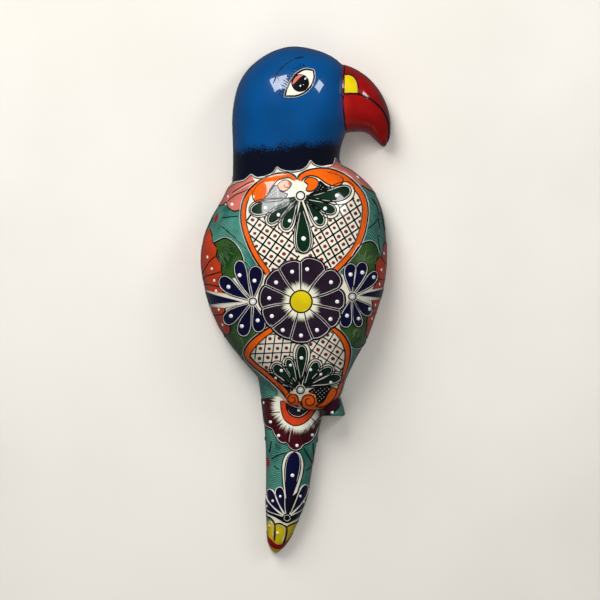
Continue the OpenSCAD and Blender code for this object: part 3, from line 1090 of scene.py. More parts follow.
def collar():
    """The scalloped edge of the dark collar, and the pink petals on the shoulders."""
    m = Motif("collar", body_form)
    arcs = [
        [(-80, -65), (-66, -59), (-57, -56.5), (-49.3, -50)],
        [(-49.3, -50), (-44.5, -53.3), (-38, -54.2), (-31, -52.2), (-24.5, -47.5), (-21, -42)],
        [(-21, -42), (-16.3, -45.2), (-6, -47.3), (4, -46.2), (11, -42.6), (16, -35)],
        [(16, -35), (20, -39.4), (27, -41.7), (36, -42), (41, -39.2), (43.6, -31.5)],
        [(43.6, -31.5), (47.3, -36), (52, -39.3), (62, -41)]]
    scallops = np.vstack([curve(arc)[:-1] for arc in arcs] + [[(62, -40)]])
    m.fill("cream", np.vstack([scallops, [(66, -52), (0, -66), (-84, -78)]]), GROUND)
    left = cornered(
        [(-122, -60), (-98, -62), (-80, -65), (-66, -59.5), (-57, -57), (-49.3, -51)],
        [(-49.3, -51), (-45, -60), (-52, -69), (-58, -79), (-61, -89.5)],
        [(-61, -89.5), (-68, -90.5), (-75, -86), (-77.5, -80.5)], [(-77.5, -80.5), (-85, -84), (-126, -85)],
        [(-126, -85), (-122, -60)])
    m.fill("pink", left)
    m.strokes(
        [(-126, -85), (-90, -84.5), (-84, -83.5), (-77.5, -80.5), (-75, -86), (-68, -90.5), (-61, -89.5)],
        width=1.2)
    m.strokes(
        [(-45.5, -57), (-54, -60.5), (-61, -64.5), (-71, -70.5)],
        [(-50.5, -66), (-60, -70), (-67, -73), (-76, -80)], width=1.0)
    m.thin(curve([(-46, -58.8), (-54, -62.3), (-61, -66.3), (-70, -71.8)]), 0.6)
    right = cornered(
        [(41.5, -39), (43.6, -31.5)], [(43.6, -31.5), (47.3, -36), (52, -39.3), (62, -41)],
        [(62, -41), (80, -39), (124, -40), (126, -70)],
        [(126, -70), (94, -68.5), (82, -66.8), (77, -64.5), (72, -61)],
        [(72, -61), (64, -55), (54, -48), (45, -45), (36, -43)], [(36, -43), (41.5, -39)])
    m.fill("pink", right)
    m.strokes([(126, -70), (94, -68.5), (82, -66.8), (77, -64.5), (72, -62)], width=1.2)
    for arc in arcs:
        m.thin(curve(arc, step=1.0) + [0, 0.5], 1.0)
        m.line(curve(arc, step=1.0) - [0, 0.5], 0.9)
    m.dot((-77, -74), 1.8, stretch=0.7)
    m.dot((-70.5, -83), 2.2)
    m.dot((71, -52.5), 2.0, stretch=1.4, lean=-25)


def shoulders():
    """Brushed green ground on both sides, with its black strokes."""
    m = Motif("side", body_form)
    m.fill("teal", curve([
        (-130, -86), (-84, -82), (-72, -86), (-61, -88), (-59, -107), (-53, -125), (-38, -152), (-52, -168),
        (-74, -160), (-90, -140), (-104, -130), (-142, -122), (-140, -96)], True), PATCH)
    m.fill("teal", curve([
        (62, -54), (78, -65), (92, -67), (136, -70), (142, -104), (142, -134), (102, -140), (92, -160),
        (70, -164), (48, -158), (60, -141), (70, -124), (77, -104), (77, -80)], True), PATCH)
    m.fill("teal", curve([
        (60, -236), (74, -232), (96, -234), (84, -258), (72, -276), (58, -292), (50, -292), (56, -276),
        (60, -258)], True), PATCH)
    m.fill("teal", curve([
        (-80, -228), (-92, -226), (-84, -246), (-66, -270), (-48, -292), (-20, -292), (-36, -264),
        (-50, -248)], True), PATCH)
    m.strokes(
        [(-81, -98), (-72, -97), (-63, -96)], [(-82, -107), (-68, -119), (-54, -133)],
        [(79, -110), (86, -104), (92, -98)], [(84, -76), (91, -84), (94, -94)],
        [(90, -117), (92, -126), (93, -134)], [(92, -98), (94, -108), (93, -118)],
        [(100, -90), (104, -102), (108, -112)], [(-98, -98), (-106, -104), (-112, -112)], width=0.9)
    m.fill("red", circle((-90, -98), 5.2, 0.62, -20), SPOT)
    m.fill("red", circle((101, -84), 5.0, 0.6, 20), SPOT)


def leaf_patches():
    """Green leaf shapes at the edges, with their veins."""
    m = Motif("leaf", body_form)
    shapes = (
        [(-94, -128), (-87, -124), (-78, -120.5), (-69, -125), (-62, -134), (-58, -145), (-60, -156),
         (-70, -165), (-86, -165), (-94, -148)],
        [(52, -154), (60, -143), (68.5, -130), (75.8, -125), (83.5, -124.5), (89, -130), (94, -142),
         (93, -160), (76, -164), (62, -160)],
        [(-82, -212), (-74, -206), (-60, -212), (-46, -216), (-30, -217), (-44, -229), (-54, -242),
         (-58, -252), (-76, -254), (-94, -238), (-94, -220)],
        [(48, -217), (56, -210), (72, -205), (84, -209), (93, -222), (98, -232), (80, -239), (66, -241),
         (60, -238), (54, -228)])
    for shape in shapes:
        m.fill("leaf", curve(shape, True), OVER)
    for rib in (
            [(-91, -126), (-87, -124), (-78, -120.5), (-69, -125), (-62, -134), (-58, -145), (-58, -151)],
            [(61, -142), (68.5, -130), (75.8, -125), (83.5, -124.5), (89, -130), (91, -137)],
            [(98, -232), (80, -239), (66, -241), (60, -238)], [(-94, -238), (-76, -254), (-62, -251)]):
        m.line(curve(rib), 1.2)
        m.thin(curve(rib) + sideways(curve(rib)) * 1.1, 0.55)
    veins = Motif("vein", body_form)
    for node, start, stop, reach in (((-86, -132), -75, 35, 20), ((72, -152), 20, 130, 19),
                                     ((-62, -222), 195, 285, 22), ((70, -214), 235, 330, 18)):
        for i, angle in enumerate(np.radians(np.linspace(start, stop, 13))):
            way = heading(angle)
            far = reach * (0.8 + 0.2 * math.sin(2.3 * i))
            veins.thin(curve([node + way * far * 0.35, node + way * far * 0.7 + [0.5, 0.3],
                              node + way * far]), 0.4, look="pale_green")


def edge_petals():
    """Orange-red petals that run round both sides."""
    m = Motif("edge", body_form)
    lobes = [
        [(-98, -110), (-93, -117), (-92, -124)], [(-92, -124), (-86.5, -132), (-88, -140)],
        [(-88, -140), (-82, -150), (-82, -157)], [(-82, -157), (-80, -165), (-83, -174)],
        [(-83, -174), (-80, -179), (-75, -182)], [(-75, -182), (-100, -179), (-124, -177)],
        [(-124, -177), (-128, -150), (-122, -114)], [(-122, -114), (-110, -109), (-98, -110)]]
    m.fill("edge_red", cornered(*lobes), FILL - 0.1)
    m.strokes(*lobes[:5], 
        [(-88, -140), (-96, -146), (-103, -153), (-118, -160)],
        [(-82, -157), (-92, -160), (-103, -162), (-122, -166)], [(-83, -174), (-96, -171.5), (-120, -171)])
    lower = [
        [(-122, -193), (-110, -194), (-96, -195), (-79, -195)], [(-79, -195), (-78, -200), (-81, -204)],
        [(-81, -204), (-76, -210), (-72.5, -218), (-73, -224), (-77, -227)],
        [(-77, -227), (-84, -226), (-95, -230)], [(-95, -230), (-108, -212), (-122, -193)]]
    m.fill("edge_red", cornered(*lower), FILL - 0.1)
    m.strokes(*lower[:4])
    m.strokes([(-81, -204), (-92, -205), (-108, -204)], width=1.2)
    for place in ((-99, -141), (-93, -154), (-90, -167), (-88, -178.5), (-85.5, -199), (-83, -216)):
        m.dot(place, 2.0, stretch=0.8)
    right = [
        [(100, -128), (98, -136), (96, -142)],
        [(96, -142), (91.5, -141.5), (87.7, -149), (88, -156), (92.5, -165)],
        [(92.5, -165), (88, -171), (84.7, -176.5)], [(84.7, -176.5), (97, -177.5), (118, -176)],
        [(118, -176), (123, -150), (120, -128)], [(120, -128), (110, -124), (100, -128)]]
    m.fill("edge_red", cornered(*right), FILL - 0.1)
    m.strokes(*right[:3], *right[5:], 
        [(92.5, -165), (104, -166), (119, -166)], [(96, -142), (104, -147), (119, -149)], width=1.2)
    below = [
        [(83.5, -188.5), (96, -188), (114, -188)], [(114, -188), (108, -208), (94, -230)],
        [(94, -230), (86, -229), (78.5, -226)],
        [(78.5, -226), (79, -217), (78, -210), (81, -205), (86.5, -199), (83.5, -188.5)]]
    m.fill("edge_red", cornered(*below), FILL - 0.1)
    m.strokes(below[3], below[2], [(85, -203), (96, -203), (108, -202)], width=1.2)
    for place in ((97, -155), (95, -171), (91, -194), (88, -209), (102, -137)):
        m.dot(place, 2.0, stretch=0.8)


def upper_heart():
    """The heart over the central flower: meshed ground, orange bands and scrolls."""
    m = Motif("upper_heart", body_form)
    left = [
        (1, -56), (-1, -52.8), (-6, -49.6), (-15, -48.6), (-25, -50), (-36, -54.6), (-45, -61), (-52, -68),
        (-57.5, -78), (-60, -90), (-60, -103), (-58, -113), (-53.6, -126), (-47, -140), (-33, -161)]
    right = [
        (1, -56), (4, -51), (13, -45.8), (25, -43.5), (36, -44), (45, -46.5), (55.5, -52), (65.5, -60),
        (73.5, -70), (78, -81), (79, -93), (77.5, -105), (74.9, -116), (68.9, -130.4), (59.4, -143),
        (43, -160)]
    whole = np.vstack([curve(left), curve(right)[::-1][:-1]])
    m.fill("cream", whole, HEART)
    core = inset(whole, 5.2)
    lattice(m, clipped(core, [
        (-70, -92), (-38, -91), (-26, -100), (-9, -106), (4, -116), (4, -175), (-70, -175)]), (-31.5, -112),
        (8.1, -5.7), (-5.9, -8.4))
    lattice(m, clipped(core, [
        (92, -64), (62, -76), (46, -88), (26, -101), (11, -108), (10, -175), (92, -175)]), (50, -104),
        (7.8, 5.4), (4.8, -9.0))
    band(m, left, (4, 5.5, 6, 5.2, 5, 5.4, 5.8, 6, 6), 1, bare=0.42)
    band(m, right, (4, 5.5, 6, 6, 6, 6.5, 6.4, 6, 6), -1, bare=0.40)
    over = Motif("upper_scrolls", body_form, 0.12)
    left_leaf = [
        (-3, -56.5), (-7.5, -54.2), (-14, -54.8), (-20, -57), (-25.5, -63), (-30, -70), (-33.5, -76),
        (-38, -80.3), (-43, -81.5), (-46.5, -78), (-47.8, -71)]
    over.fill("orange", np.vstack([curve(left_leaf), curve([
        (-47.8, -71), (-42, -63), (-34, -57.5), (-24, -53.5), (-12, -51.5), (-3, -53)])[1:]]))
    over.strokes(left_leaf)
    over.strokes([(-47.8, -71), (-42.5, -62.5), (-34, -57)], width=0.6)
    right_leaf = [
        (6, -58), (9.5, -54), (16.5, -51.8), (23.5, -53.4), (28, -56.4), (33, -60), (38.5, -62.6),
        (45, -63.2), (50, -61), (51.5, -56.5), (48.5, -52.6)]
    over.fill("orange", np.vstack([curve(right_leaf), curve([
        (48.5, -52.6), (40, -48.5), (28, -46.5), (16, -48), (8, -51.5), (4.5, -56)])[1:]]))
    over.strokes(right_leaf)
    over.strokes([(48.5, -52.6), (41, -49.3), (34, -48)], width=0.6)
    over.outlined("orange", curve([
        (9, -58), (12, -54.6), (17.5, -53.9), (23.2, -56.4), (24.6, -61), (22, -65.5), (16.5, -69),
        (11, -67.8), (13, -62)], True))
    over.outlined("orange", curve([
        (-20, -62), (-15.5, -57.5), (-9.5, -57), (-5, -60.5), (-8, -66), (-13, -69), (-18, -67)], True))
    over.strokes([(-8, -58), (-5.5, -61), (-8, -64.5), (-12.5, -64), (-13, -61.5)], width=1.0)
    over.fill("cream", drop((-51, -84), (-46, -73.5), 4.5, 1.5), FILL + 0.1)
    fine_mesh(over, curve([
        (-22, -62), (-17, -69), (-9, -72), (-14, -78), (-26, -80.5), (-36, -80), (-29, -70)], True),
        lean=35)
    fine_mesh(over, curve([
        (26, -58), (33, -63), (42, -66.5), (30, -70), (14, -73.5), (21, -68)], True), lean=-35)


def clipped(outline, mask):
    """The part of a closed outline that lies in a coarse mask, as a dense star-shaped outline."""
    mask = np.array(mask, float)
    centre = mask_centre(outline, mask)
    points = []
    for a in np.linspace(0, 2 * math.pi, 180, endpoint=False):
        ray = centre + np.linspace(0, 140, 561)[:, None] * heading(a)
        kept = inside(ray, outline) & inside(ray, mask)
        points.append(ray[max(int(np.argmin(kept)) - 1, 0)])
    return np.array(points)


def mask_centre(outline, mask):
    """The middle of the part of an outline that lies in a mask."""
    low, high = np.maximum(outline.min(0), mask.min(0)), np.minimum(outline.max(0), mask.max(0))
    grid = np.stack(np.meshgrid(np.linspace(low[0], high[0], 40), np.linspace(low[1], high[1], 40)),
                    -1).reshape(-1, 2)
    return grid[inside(grid, outline) & inside(grid, mask)].mean(0)


def fan(name, centre, petals, radius, sole, raised=0.0):
    """Dark green petals that spread from one ring. Each is (tip, dot, width, bend, margin, dot size)."""
    m = Motif(name, body_form, raised)
    m.fill("cream", curve(sole, True), MARGIN - 0.04)
    for tip, dot, width, bend, margin, size in petals:
        m.petal("green", centre, tip, width, bend, dot, margin, size)
    m.ring(centre, radius)


def central_flower():
    """The round plum flower, with a petal between each pair of edges."""
    m = Motif("central_flower", body_form, RAISED)
    centre = np.array([5.5, -190.0])
    edges = (91, 51.9, 19.3, -12.4, -42.4, -72.3, -105.9, -138.2, -169.9, -204.7, -235.9, -269)
    tips = (50, 51.5, 48.5, 47, 45.5, 46, 44.5, 45.5, 46.5, 46, 46.5)
    dots = ((79.3, 36), (32.7, 39), (-0.3, 39.5), (-31, 37.5), (-60.9, 36), (-90, 37.3), (-122.4, 37.2),
            (-153.2, 35.7), (-186, 35), (-217.4, 34.3), (-253.4, 34))
    notch, eye = 43.5, 12.0
    outline = []
    for i, tip in enumerate(tips):
        share = np.linspace(0, 1, 22)[:-1]
        angle = np.radians(edges[i] + (edges[i + 1] - edges[i]) * share)
        radius = tip - (tip - notch) * np.abs(2 * share - 1) ** 3.2
        outline.append(centre + radius[:, None] * np.stack([np.cos(angle), np.sin(angle)], 1))
    m.fill("plum", np.vstack(outline))
    m.line(np.vstack(outline), 1.7, closed=True)
    m.thin(inset(np.vstack(outline), 1.6), 0.6, True)
    for i, edge in enumerate(edges[:-1]):
        ahead, left = heading(math.radians(edge)), heading(math.radians(edge + 90))
        sway = 1.4 * math.sin(2.1 * i)
        path = np.array([centre + ahead * r + left * sway * math.sin(math.pi * (r - eye) / (notch - eye))
                         for r in np.linspace(eye, notch + 0.5, 20)])
        m.line(path, 1.3)
        m.thin(path[4:] + left * 1.15, 0.55)
        m.thin(path[4:] - left * 1.15, 0.55)
    for angle, radius in dots:
        m.dot(centre + radius * heading(math.radians(angle)), 2.7)
    m.fill("yellow", circle(centre, eye - 0.4), FILL + 0.14)
    m.line(circle(centre, eye), 2.0, closed=True)


def side_flower(name, centre, petals, wedge, margin):
    """Navy petals round a small ring on pale ground, with one long wedge that runs round the side."""
    m = Motif(name, body_form, RAISED)
    m.fill("cream", circle(centre, 17), MARGIN)
    m.fill("cream", cornered(*zip(margin, margin[1:] + margin[:1])), MARGIN + 0.03)
    m.fill("navy", cornered(*zip(wedge, wedge[1:] + wedge[:1])))
    middle = len(wedge) // 2
    m.thin(curve(wedge[:middle + 1]))
    m.thin(curve(wedge[middle + 1:] + wedge[:1]))
    for tip, dot, width, bend, size in petals:
        m.dark_petal("navy", centre, tip, width, bend, dot, size)
    m.ring(centre, 4.7)


def lower_heart():
    """The heart under the central flower: meshed ground, orange bands, scrolls and a leaf."""
    m = Motif("lower_heart", body_form)
    left = [
        (-25, -216), (-37, -223.5), (-49, -233), (-56.5, -244), (-56, -252.5), (-49, -260), (-40, -267),
        (-31, -274.5), (-22.5, -282), (-15, -290), (-9, -298), (-3, -303.5), (4, -305.5)]
    right = [
        (39, -216), (52, -226.5), (59.3, -241), (59, -256), (56, -270), (53, -283), (48, -295),
        (38.5, -305), (27, -309.6), (15, -309.8), (7.5, -306.5), (3.8, -300)]
    whole = np.vstack([curve(left), curve(right)[::-1][1:]])
    m.fill("cream", whole, HEART)
    core = inset(whole, 6)
    lattice(m, clipped(core, [
        (-60, -205), (4, -205), (4, -242), (-6, -258), (-22, -266), (-34, -274), (-60, -276)]), (-31, -252),
        (9.5, 0.4), (-1.4, -10.4), 1.35)
    lattice(m, clipped(core, [
        (9, -205), (70, -205), (70, -282), (50, -276), (36, -268), (22, -260), (9, -242)]), (37.5, -240),
        (8.0, -5.3), (-5.1, -8.0), 1.35)
    band(Motif("lower_left_band", body_form, 0.3), left, (6, 6.5, 8, 8, 6, 5, 5, 5, 6, 6, 5), 1)
    band(m, right, (4, 6, 6.5, 5.5, 5.5, 6, 8, 9.5, 9.5, 7), -1)
    over = Motif("lower_scrolls", body_form, 0.6)
    for middle, reach, start, turns in (((14.3, -299.3), 8.6, -2.4, -1.45),
                                        ((-3.8, -297.5), 6.9, -0.7, 1.45)):
        over.fill("orange", circle(middle, reach * 0.95))
        turn = np.linspace(0, 1, 44)[:, None]
        angle = start + 2 * math.pi * turns * turn
        over.line(np.array(middle) + reach * (1 - 0.72 * turn) * np.hstack([np.cos(angle), np.sin(angle)]),
                  1.3)
    leaf = curve([
        (22, -305), (30, -299), (35, -290), (39, -285), (43, -286), (43.5, -291), (39, -299), (32, -304.5)],
        True)
    over.outlined("orange", leaf)
    mesh = Motif("lower_mesh", body_form, 0.12)
    fine_mesh(mesh, curve([
        (-20, -278), (-10, -281.5), (-3, -287), (-8, -289.5), (-10.5, -292.5), (-16, -285.5)], True),
        lean=5)
    fine_mesh(mesh, curve([
        (14, -289), (24, -284), (38, -283), (34, -291), (26, -301), (22, -299), (22, -293)], True), lean=40)


def tail_painting():
    """The half flower, the drop, the strokes and the feathers of the tail."""
    flower = Motif("tail_flower", tail_form, 0.1)
    petals = [
        [(-50, -309), (-42, -320), (-34, -328), (-26, -331.5)],
        [(-26, -331.5), (-22, -340), (-16, -346.5), (-10, -347)],
        [(-10, -347), (-6, -353), (-1, -355.5), (5, -353), (8, -349)],
        [(8, -349), (15, -346), (21, -339), (25, -330)], [(25, -330), (32, -322), (44, -312)]]
    flower.fill("maroon", np.vstack([cornered(*petals), [
        (44, -312), (40, -304), (27, -307), (15, -307), (5, -304), (-4, -302), (-12, -296), (-20, -294.5),
        (-50, -298)]]))
    for edge in petals:
        flower.line(curve(edge), 1.3)
        flower.thin(curve(edge) + [0, 1.2], 0.55)
    flower.strokes(
        [(-26, -331.5), (-20, -327), (-14, -325)], [(-10, -347), (-9, -338), (-7, -329)],
        [(8, -349), (12, -336), (18, -326), (28, -316)], [(-34, -313), (-24, -312.5), (-17, -312)],
        [(10, -331), (8, -336), (7, -345)], [(16, -318), (19, -321), (22, -324)], width=1.1)
    for edge in ([(-14, -324), (-19, -325.5), (-25, -330)], [(-6, -331), (-8, -339), (-9, -346)]):
        flower.thin(curve(edge) + [1.2, 0.5], 0.5)
    flower.outlined("edge_red", cornered(
        [(-17, -300), (-16, -311), (-12, -321), (-2, -327), (9, -324), (18, -315), (24, -304)],
        [(24, -304), (17, -305), (13, -312), (4, -318), (-5, -316), (-10, -309), (-11, -300)],
        [(-11, -300), (-17, -300)]), FILL + 0.06)
    flower.fill("plum_disc", curve([
        (-11, -300), (-9, -309), (-4, -315), (4, -316.5), (12, -311), (16, -306), (4, -303.5)], True),
        FILL + 0.04)
    flower.strokes([(-11, -302), (-9.5, -309.5), (-4.5, -315.8), (4, -317.6), (12.5, -312), (17, -305)])
    for place in ((3, -310), (-28, -323), (-19, -338), (1, -349), (18, -337.5)):
        flower.dot(place, 2.1)
    flower.dot((-36, -302), 2.0, stretch=0.7)

    m = Motif("tail", tail_form)
    drop_base, drop_tip = (-10.5, -428), (-1.5, -356)
    edge = [
        (-11, -422), (-13.6, -400), (-15.2, -380), (-14.8, -368), (-10.5, -358), (-3, -354.5), (4, -357),
        (8, -367), (7.6, -378), (2.5, -397), (-6, -422)]
    m.fill("cream", curve(edge, True), MARGIN)
    m.strokes(edge, width=1.1)
    m.fill("navy", drop(drop_base, drop_tip, 18, 0))
    m.thin(drop(drop_base, drop_tip, 15, 0)[30:-30], 0.5)
    m.dot((-4, -382), 2.4)
    m.fill("red", circle((-32, -368), 5.2, 0.6, 5), SPOT)
    m.fill("red", circle((22, -366), 4.6, 0.6, -15), SPOT)
    m.strokes(
        [(-27, -364), (-18, -359), (-11, -357)], [(-24, -371), (-21, -374), (-18, -375)],
        [(8, -351), (13, -360), (18, -369)], [(19, -346), (19, -354), (21, -361)],
        [(10, -377), (14, -375), (18, -372)], [(-27, -344), (-28, -351), (-29, -357)],
        [(-22, -347), (-19, -351), (-16, -352)], [(25, -340), (29, -346), (33, -350)],
        [(-38, -340), (-42, -350), (-43, -360)], [(27, -384), (30, -394), (26, -404)], width=1.0)
    feathers = Motif("tail_feathers", tail_form, 0.1)
    ring = (-10, -429)
    feathers.fill("black", curve([
        (-44, -420), (-36, -413), (-26, -405), (-18, -402), (-10, -408), (-3, -404), (8, -396), (20, -404),
        (20, -414), (8, -424), (-2, -431), (-10, -435), (-24, -428), (-36, -423)], True), MARGIN)
    for tip, dot, width, bend in (((-44, -404), (-33, -416.5), 10, 3), ((24, -396), (8.7, -411.5), 10, -3),
                                  ((-30.5, -398), (-25.6, -410.3), 10, 2.5),
                                  ((11.5, -392.8), (4.4, -405), 9.5, -2),
                                  ((-18.8, -395), (-17.4, -405.2), 10, 1.5)):
        shape = drop(ring, tip, width, bend)
        feathers.fill("navy", shape)
        feathers.thin(open_base(shape, 0.12), 0.9, look="cream")
        feathers.dot(dot, 1.9, stretch=0.85)
    feathers.fill("black", circle(ring, 4.9), LINE_TOP + 0.05)
    piece("tail_feathers_eye", tail_form, "grey").line(circle(ring, 3.2), 0.7, LINE_TOP + 0.28, True)
    tip = Motif("tail_tip", tail_form, 0.06)
    white = [
        (-48, -414), (-34, -421.5), (-24, -427), (-16, -431), (-7.5, -434.8), (1, -431), (8, -427.5),
        (18, -420)]
    yellow_top = [
        (-48, -422), (-40, -425), (-32, -428), (-27.5, -430), (-23.2, -435.6), (-18.8, -435), (-14, -436.6),
        (-10.7, -439.2), (-6.3, -436.5), (1.7, -433.6), (14, -430)]
    tip.fill("cream", np.vstack([curve(white), curve(yellow_top)[::-1]]), OVER)
    tip.strokes(
        [(-40, -425.5), (-32, -428), (-27, -430.5), (-23.6, -436), (-23.3, -445), (-23.8, -455)],
        [(-23.4, -436), (-18.8, -435.2), (-14, -436.8), (-10.7, -439.4), (-11, -448), (-14.3, -458)],
        [(-10.7, -439.4), (-6.3, -436.7), (1.7, -433.8), (10, -432)], width=1.6)
    tip.thin(curve([(-29, -432), (-26, -437), (-25.5, -447), (-26, -452)]), 0.5)
    tip.thin(curve([(-21, -437.5), (-16, -438), (-13, -441), (-13.5, -450), (-16, -456)]), 0.5)
    tip.fill("red", ribbon([
        (-46, -446), (-32, -452.5), (-22, -461), (-14, -460), (-6, -454), (2, -448)], (4.5, 5.5, 5, 4.5)),
        FILL)
    tip.dot((-30, -438.3), 1.4, "cream")
    tip.dot((-20.3, -446), 1.7, "cream")


def foot_painting():
    """The maroon patch on the foot."""
    m = Motif("foot", foot_form)
    shape = curve([
        (41, -293), (45.5, -297), (48.2, -302.5), (45.5, -309), (38, -314), (26, -316), (22, -313),
        (32, -305.5), (37, -299)], True)
    m.fill("maroon_plain", shape)
    m.strokes(
        [(36, -292.5), (45.5, -297), (48.2, -302.5), (45.5, -309), (38, -314), (30, -315.5)], width=1.2)
    m.dot((40, -312.5), 1.7, stretch=1.3, lean=20)


def eye():
    """The eye, its lashes, the brow and painted highlights on the iris."""
    m = Motif("eye", body_form)
    lid = cornered(
        [(-12, 36), (-9.5, 45), (-4.5, 54), (2, 61), (10.5, 65), (19, 64)],
        [(19, 64), (19.5, 56), (16.5, 47.5), (9, 40), (0, 36.3), (-12, 36)])
    m.fill("cream", lid, FILL - 0.1)
    m.line(lid, 1.7, closed=True)
    m.thin(inset(lid, -1.5), 0.5, True)
    iris = (4.6, 50.2)
    m.fill("black", circle(iris, 9.8), FILL)
    m.fill("pink", cornered(
        [(-4.2, 48), (-2, 54.5), (3, 58.8), (8.5, 59)], [(8.5, 59), (3.5, 55.5), (0, 51.5), (-4.2, 48)]),
        FILL + 0.08)
    # Painted highlights: the grey fleck and the two white dots on the iris stand for reflections of the lamps
    # in the glossy eye.
    m.fill("grey", circle((10.3, 55), 1.5, 0.6, -35), FILL + 0.08)
    m.dot((4.8, 47), 1.4, stretch=0.7, lean=-15)
    m.dot((8.3, 48.3), 0.7, stretch=0.6, lean=15)
    upper = curve([(-13, 36), (-10.5, 45), (-5.5, 54), (1, 61.5), (10, 66)], step=3.4)
    lean = sideways(upper)
    for i, (root, way) in enumerate(zip(upper, lean)):
        tip = root + way * (5.0 + 1.0 * math.sin(2.7 * i)) + [-0.6, 1.4]
        m.line(np.array([root, (root + tip) / 2 + [0.2, 0.1], tip]), 0.85)
    m.strokes([(-23.5, 52), (-20, 61.5), (-12, 70.5), (-2, 77), (8, 79.5)], width=0.7)
    m.thin(curve([(-25, 50), (-21.5, 60), (-15.5, 67)]), 0.5, look="black")


def beak_painting():
    """The mouth line and the yellow patch."""
    m = Motif("beak", beak_form)
    m.strokes([(53.5, 73), (53, 60), (53, 39)], width=1.5)
    m.strokes([(53, 39), (51.5, 32), (52.5, 20), (54, 8), (56, -2)])
    m.strokes(
        [(53, 39), (62, 39.5), (70, 38.5), (80, 34.5), (89, 28), (97, 19), (102, 8), (103, -5), (101, -17)],
        width=1.7)
    m.outlined("yellow", cornered(
        [(53, 60), (59, 60), (64, 57), (67.5, 50), (68.5, 39.5)], [(68.5, 39.5), (60, 39.5), (53, 39.5)],
        [(53, 39.5), (53, 60)]), FILL, 1.5)


collar()
shoulders()
leaf_patches()
edge_petals()
upper_heart()
fan("upper_fan", (5, -74), [((8.5, -137), (8.3, -121), 17.5, 0.5, 0.5, 3.0),
                            ((-13, -111), (-7, -101.4), 13, -1.0, 2.6, 2.3),
                            ((29.5, -106), (21.7, -98.9), 13, 1.5, 2.6, 2.4),
                            ((-30.5, -103.5), (-19.2, -94.9), 12.5, -1.0, 2.2, 2.4),
                            ((44, -91.5), (32, -87.9), 13, -1.0, 3.2, 2.5),
                            ((-50, -91), (-33.6, -87.2), 15, 0.5, 1.2, 2.3),
                            ((60.5, -67.5), (45, -73.6), 16.5, -3.5, 3.6, 2.7)], 5.4,
    [(-4, -78), (4, -72), (14, -77), (16, -86), (6, -92), (-4, -88)])
fan("lower_fan", (5, -287),
    [((6.5, -237.5), (6, -252), 13, 0, 3.0, 2.4), ((-9.5, -252.5), (-6, -260), 10.5, 1.0, 2.4, 2.0),
     ((24, -256), (16, -265), 11.5, -1.0, 2.4, 2.0), ((-25, -259.5), (-16, -266), 13, 0.5, 2.2, 2.2),
     ((39.5, -263), (27, -270), 11.5, 0.5, 2.2, 2.1), ((-32, -268.5), (-22.5, -274.5), 10, 1.5, 1.6, 2.0),
     ((50, -273), (38, -279), 12, 1.5, 2.0, 2.1)],
    4.9, [(-6, -284), (-2, -278), (4, -276), (12, -279), (16, -286), (12, -290), (4, -291), (-4, -289)])
lower_heart()
side_flower("left_flower", (-47, -190),
            [((-43.5, -151.5), (-45.4, -167.2), 14.6, -0.5, 2.7),
             ((-63, -145.5), (-61.6, -161.2), 13, 2, 2.7), ((-83, -164.5), (-73.8, -173.9), 14.5, 2, 2.8),
             ((-78.5, -213), (-71.2, -205.9), 14, -1, 2.8), ((-59, -227.5), (-59.3, -217.1), 14, -1, 2.7),
             ((-39.5, -223), (-41.8, -210.8), 13.5, 1, 2.7)],
            [(-57, -190.5), (-80, -184.5), (-99, -180), (-125, -177), (-124, -195), (-97, -193.5),
             (-78, -192)], [(-52, -190), (-76, -181.5), (-99, -178.5), (-125, -175.5), (-123, -196.5),
                            (-97, -195.5), (-78, -197)])
side_flower("right_flower", (61.2, -184.5),
            [((59.5, -148.5), (59.6, -160.4), 12.5, 1, 2.8), ((74, -147), (72.7, -158.2), 12.5, -0.5, 2.8),
             ((89, -158), (85.4, -163.2), 11, -1.5, 2.6), ((83, -203.5), (80.9, -198.1), 12, -1, 2.6),
             ((69, -217.5), (68.2, -208.7), 9.5, 0, 2.5), ((53, -218), (55.6, -205.6), 12.5, -1, 2.8)],
            [(68, -183.5), (78, -180), (94, -177), (118, -175), (117, -187), (94, -185.8), (80, -185)],
            [(66, -183.5), (78, -177.5), (94, -175.5), (118, -173.5), (117, -188.5), (94, -187.5),
             (80, -188.5)])
central_flower()
tail_painting()
foot_painting()
eye()
beak_painting()
for name, painted in pieces.items():
    build(name, painted)


# ---------------------------------------------------------------- stage
MIDDLE = (0, 0, -0.19)       # of the bird, in metres, as everything below is
LAMPS = (
    # name, place, size, watts, whether the glaze mirrors it
    ("fill_left", (-1.1, -2.2, 0.9), (2.0, 2.0), 8, False),
    ("fill_right", (1.2, -2.4, 0.2), (2.0, 2.0), 12, False),
    ("fill_low", (-0.4, -2.2, -1.5), (2.0, 2.0), 16, False),
    ("window_left_a", (-1.0, -1.35, 1.35), (0.50, 1.30), 25, True),
    ("window_left_b", (-0.55, -1.55, 1.50), (0.50, 1.30), 25, True),
    ("window_right", (1.45, -1.25, 0.95), (0.50, 0.65), 12, True),
    ("behind", (0, 2.2, -0.19), (0.7, 0.7), 14, False))


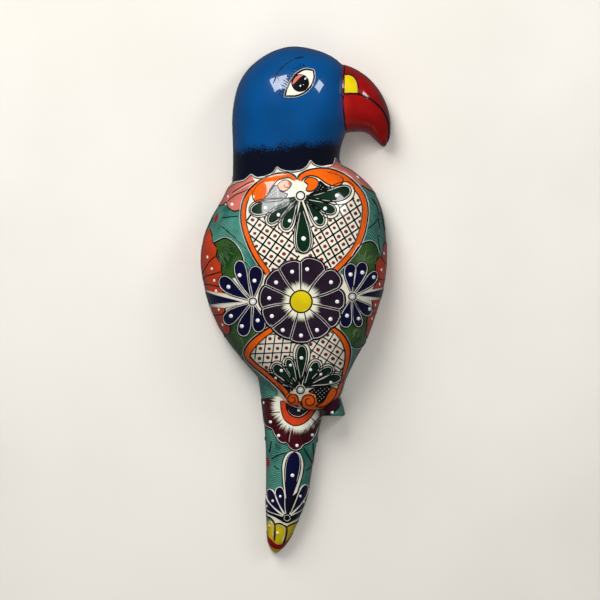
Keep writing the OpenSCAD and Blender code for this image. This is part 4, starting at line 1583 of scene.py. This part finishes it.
def area_light(name, place, size, watts, mirrored):
    light = bpy.data.lights.new(name, "AREA")
    light.shape = "RECTANGLE"
    light.size, light.size_y = size
    light.energy = watts
    lamp = bpy.data.objects.new(name, light)
    lamp.location = place
    lamp.rotation_euler = (Vector(MIDDLE) - Vector(place)).to_track_quat("-Z", "Z").to_euler()
    lamp.visible_glossy = mirrored
    bpy.context.scene.collection.objects.link(lamp)


def backdrop():
    """A plain pale wall behind the bird, which only its front face shows."""
    n = Nodes("pale_wall")
    cloud = n.smooth_step(n.noise(3, 4), 0.3, 0.7)
    colour = n.mix(cloud, rgb((0.74, 0.70, 0.635)), rgb((0.80, 0.765, 0.705)))
    n.finish(colour, roughness=0.7, coat=0.0)
    behind = n.add("ShaderNodeNewGeometry").outputs["Backfacing"]
    clear = n.add("ShaderNodeBsdfTransparent").outputs[0]
    both = n.add("ShaderNodeMixShader", {0: behind, 1: n.shader.outputs[0], 2: clear}).outputs[0]
    n.put(n.tree.nodes["Material Output"].inputs["Surface"], both)
    half, gap = 2500, 0.6
    corners = np.array([(x * half, WALL + gap, z * half) for x, z in ((-1, -1), (1, -1), (1, 1), (-1, 1))])
    wall = new_object("backdrop", corners, [(0, 1, 2, 3)], [n.material])
    wall.visible_shadow = wall.visible_diffuse = wall.visible_glossy = False


def camera():
    """A long lens from straight in front. seen is the width it takes in at the wall plane, in metres."""
    away, seen, sensor = 10.0, 0.6648, 36
    data = bpy.data.cameras.new("camera")
    data.sensor_width = sensor
    data.lens = sensor * (away + WALL * MM) / seen
    obj = bpy.data.objects.new("camera", data)
    obj.location = (0.0044, -away, -0.1884)
    obj.rotation_euler = (math.pi / 2, 0, 0)
    bpy.context.scene.collection.objects.link(obj)
    bpy.context.scene.camera = obj


def sky():
    """A faint cool light from all round."""
    world = bpy.data.worlds.new("studio")
    world.use_nodes = True
    background = world.node_tree.nodes["Background"]
    background.inputs["Color"].default_value = (0.93, 0.96, 1.0, 1)
    background.inputs["Strength"].default_value = 0.07
    bpy.context.scene.world = world
    bpy.context.scene.view_settings.view_transform = "Standard"


backdrop()
camera()
for lamp in LAMPS:
    area_light(*lamp)
sky()
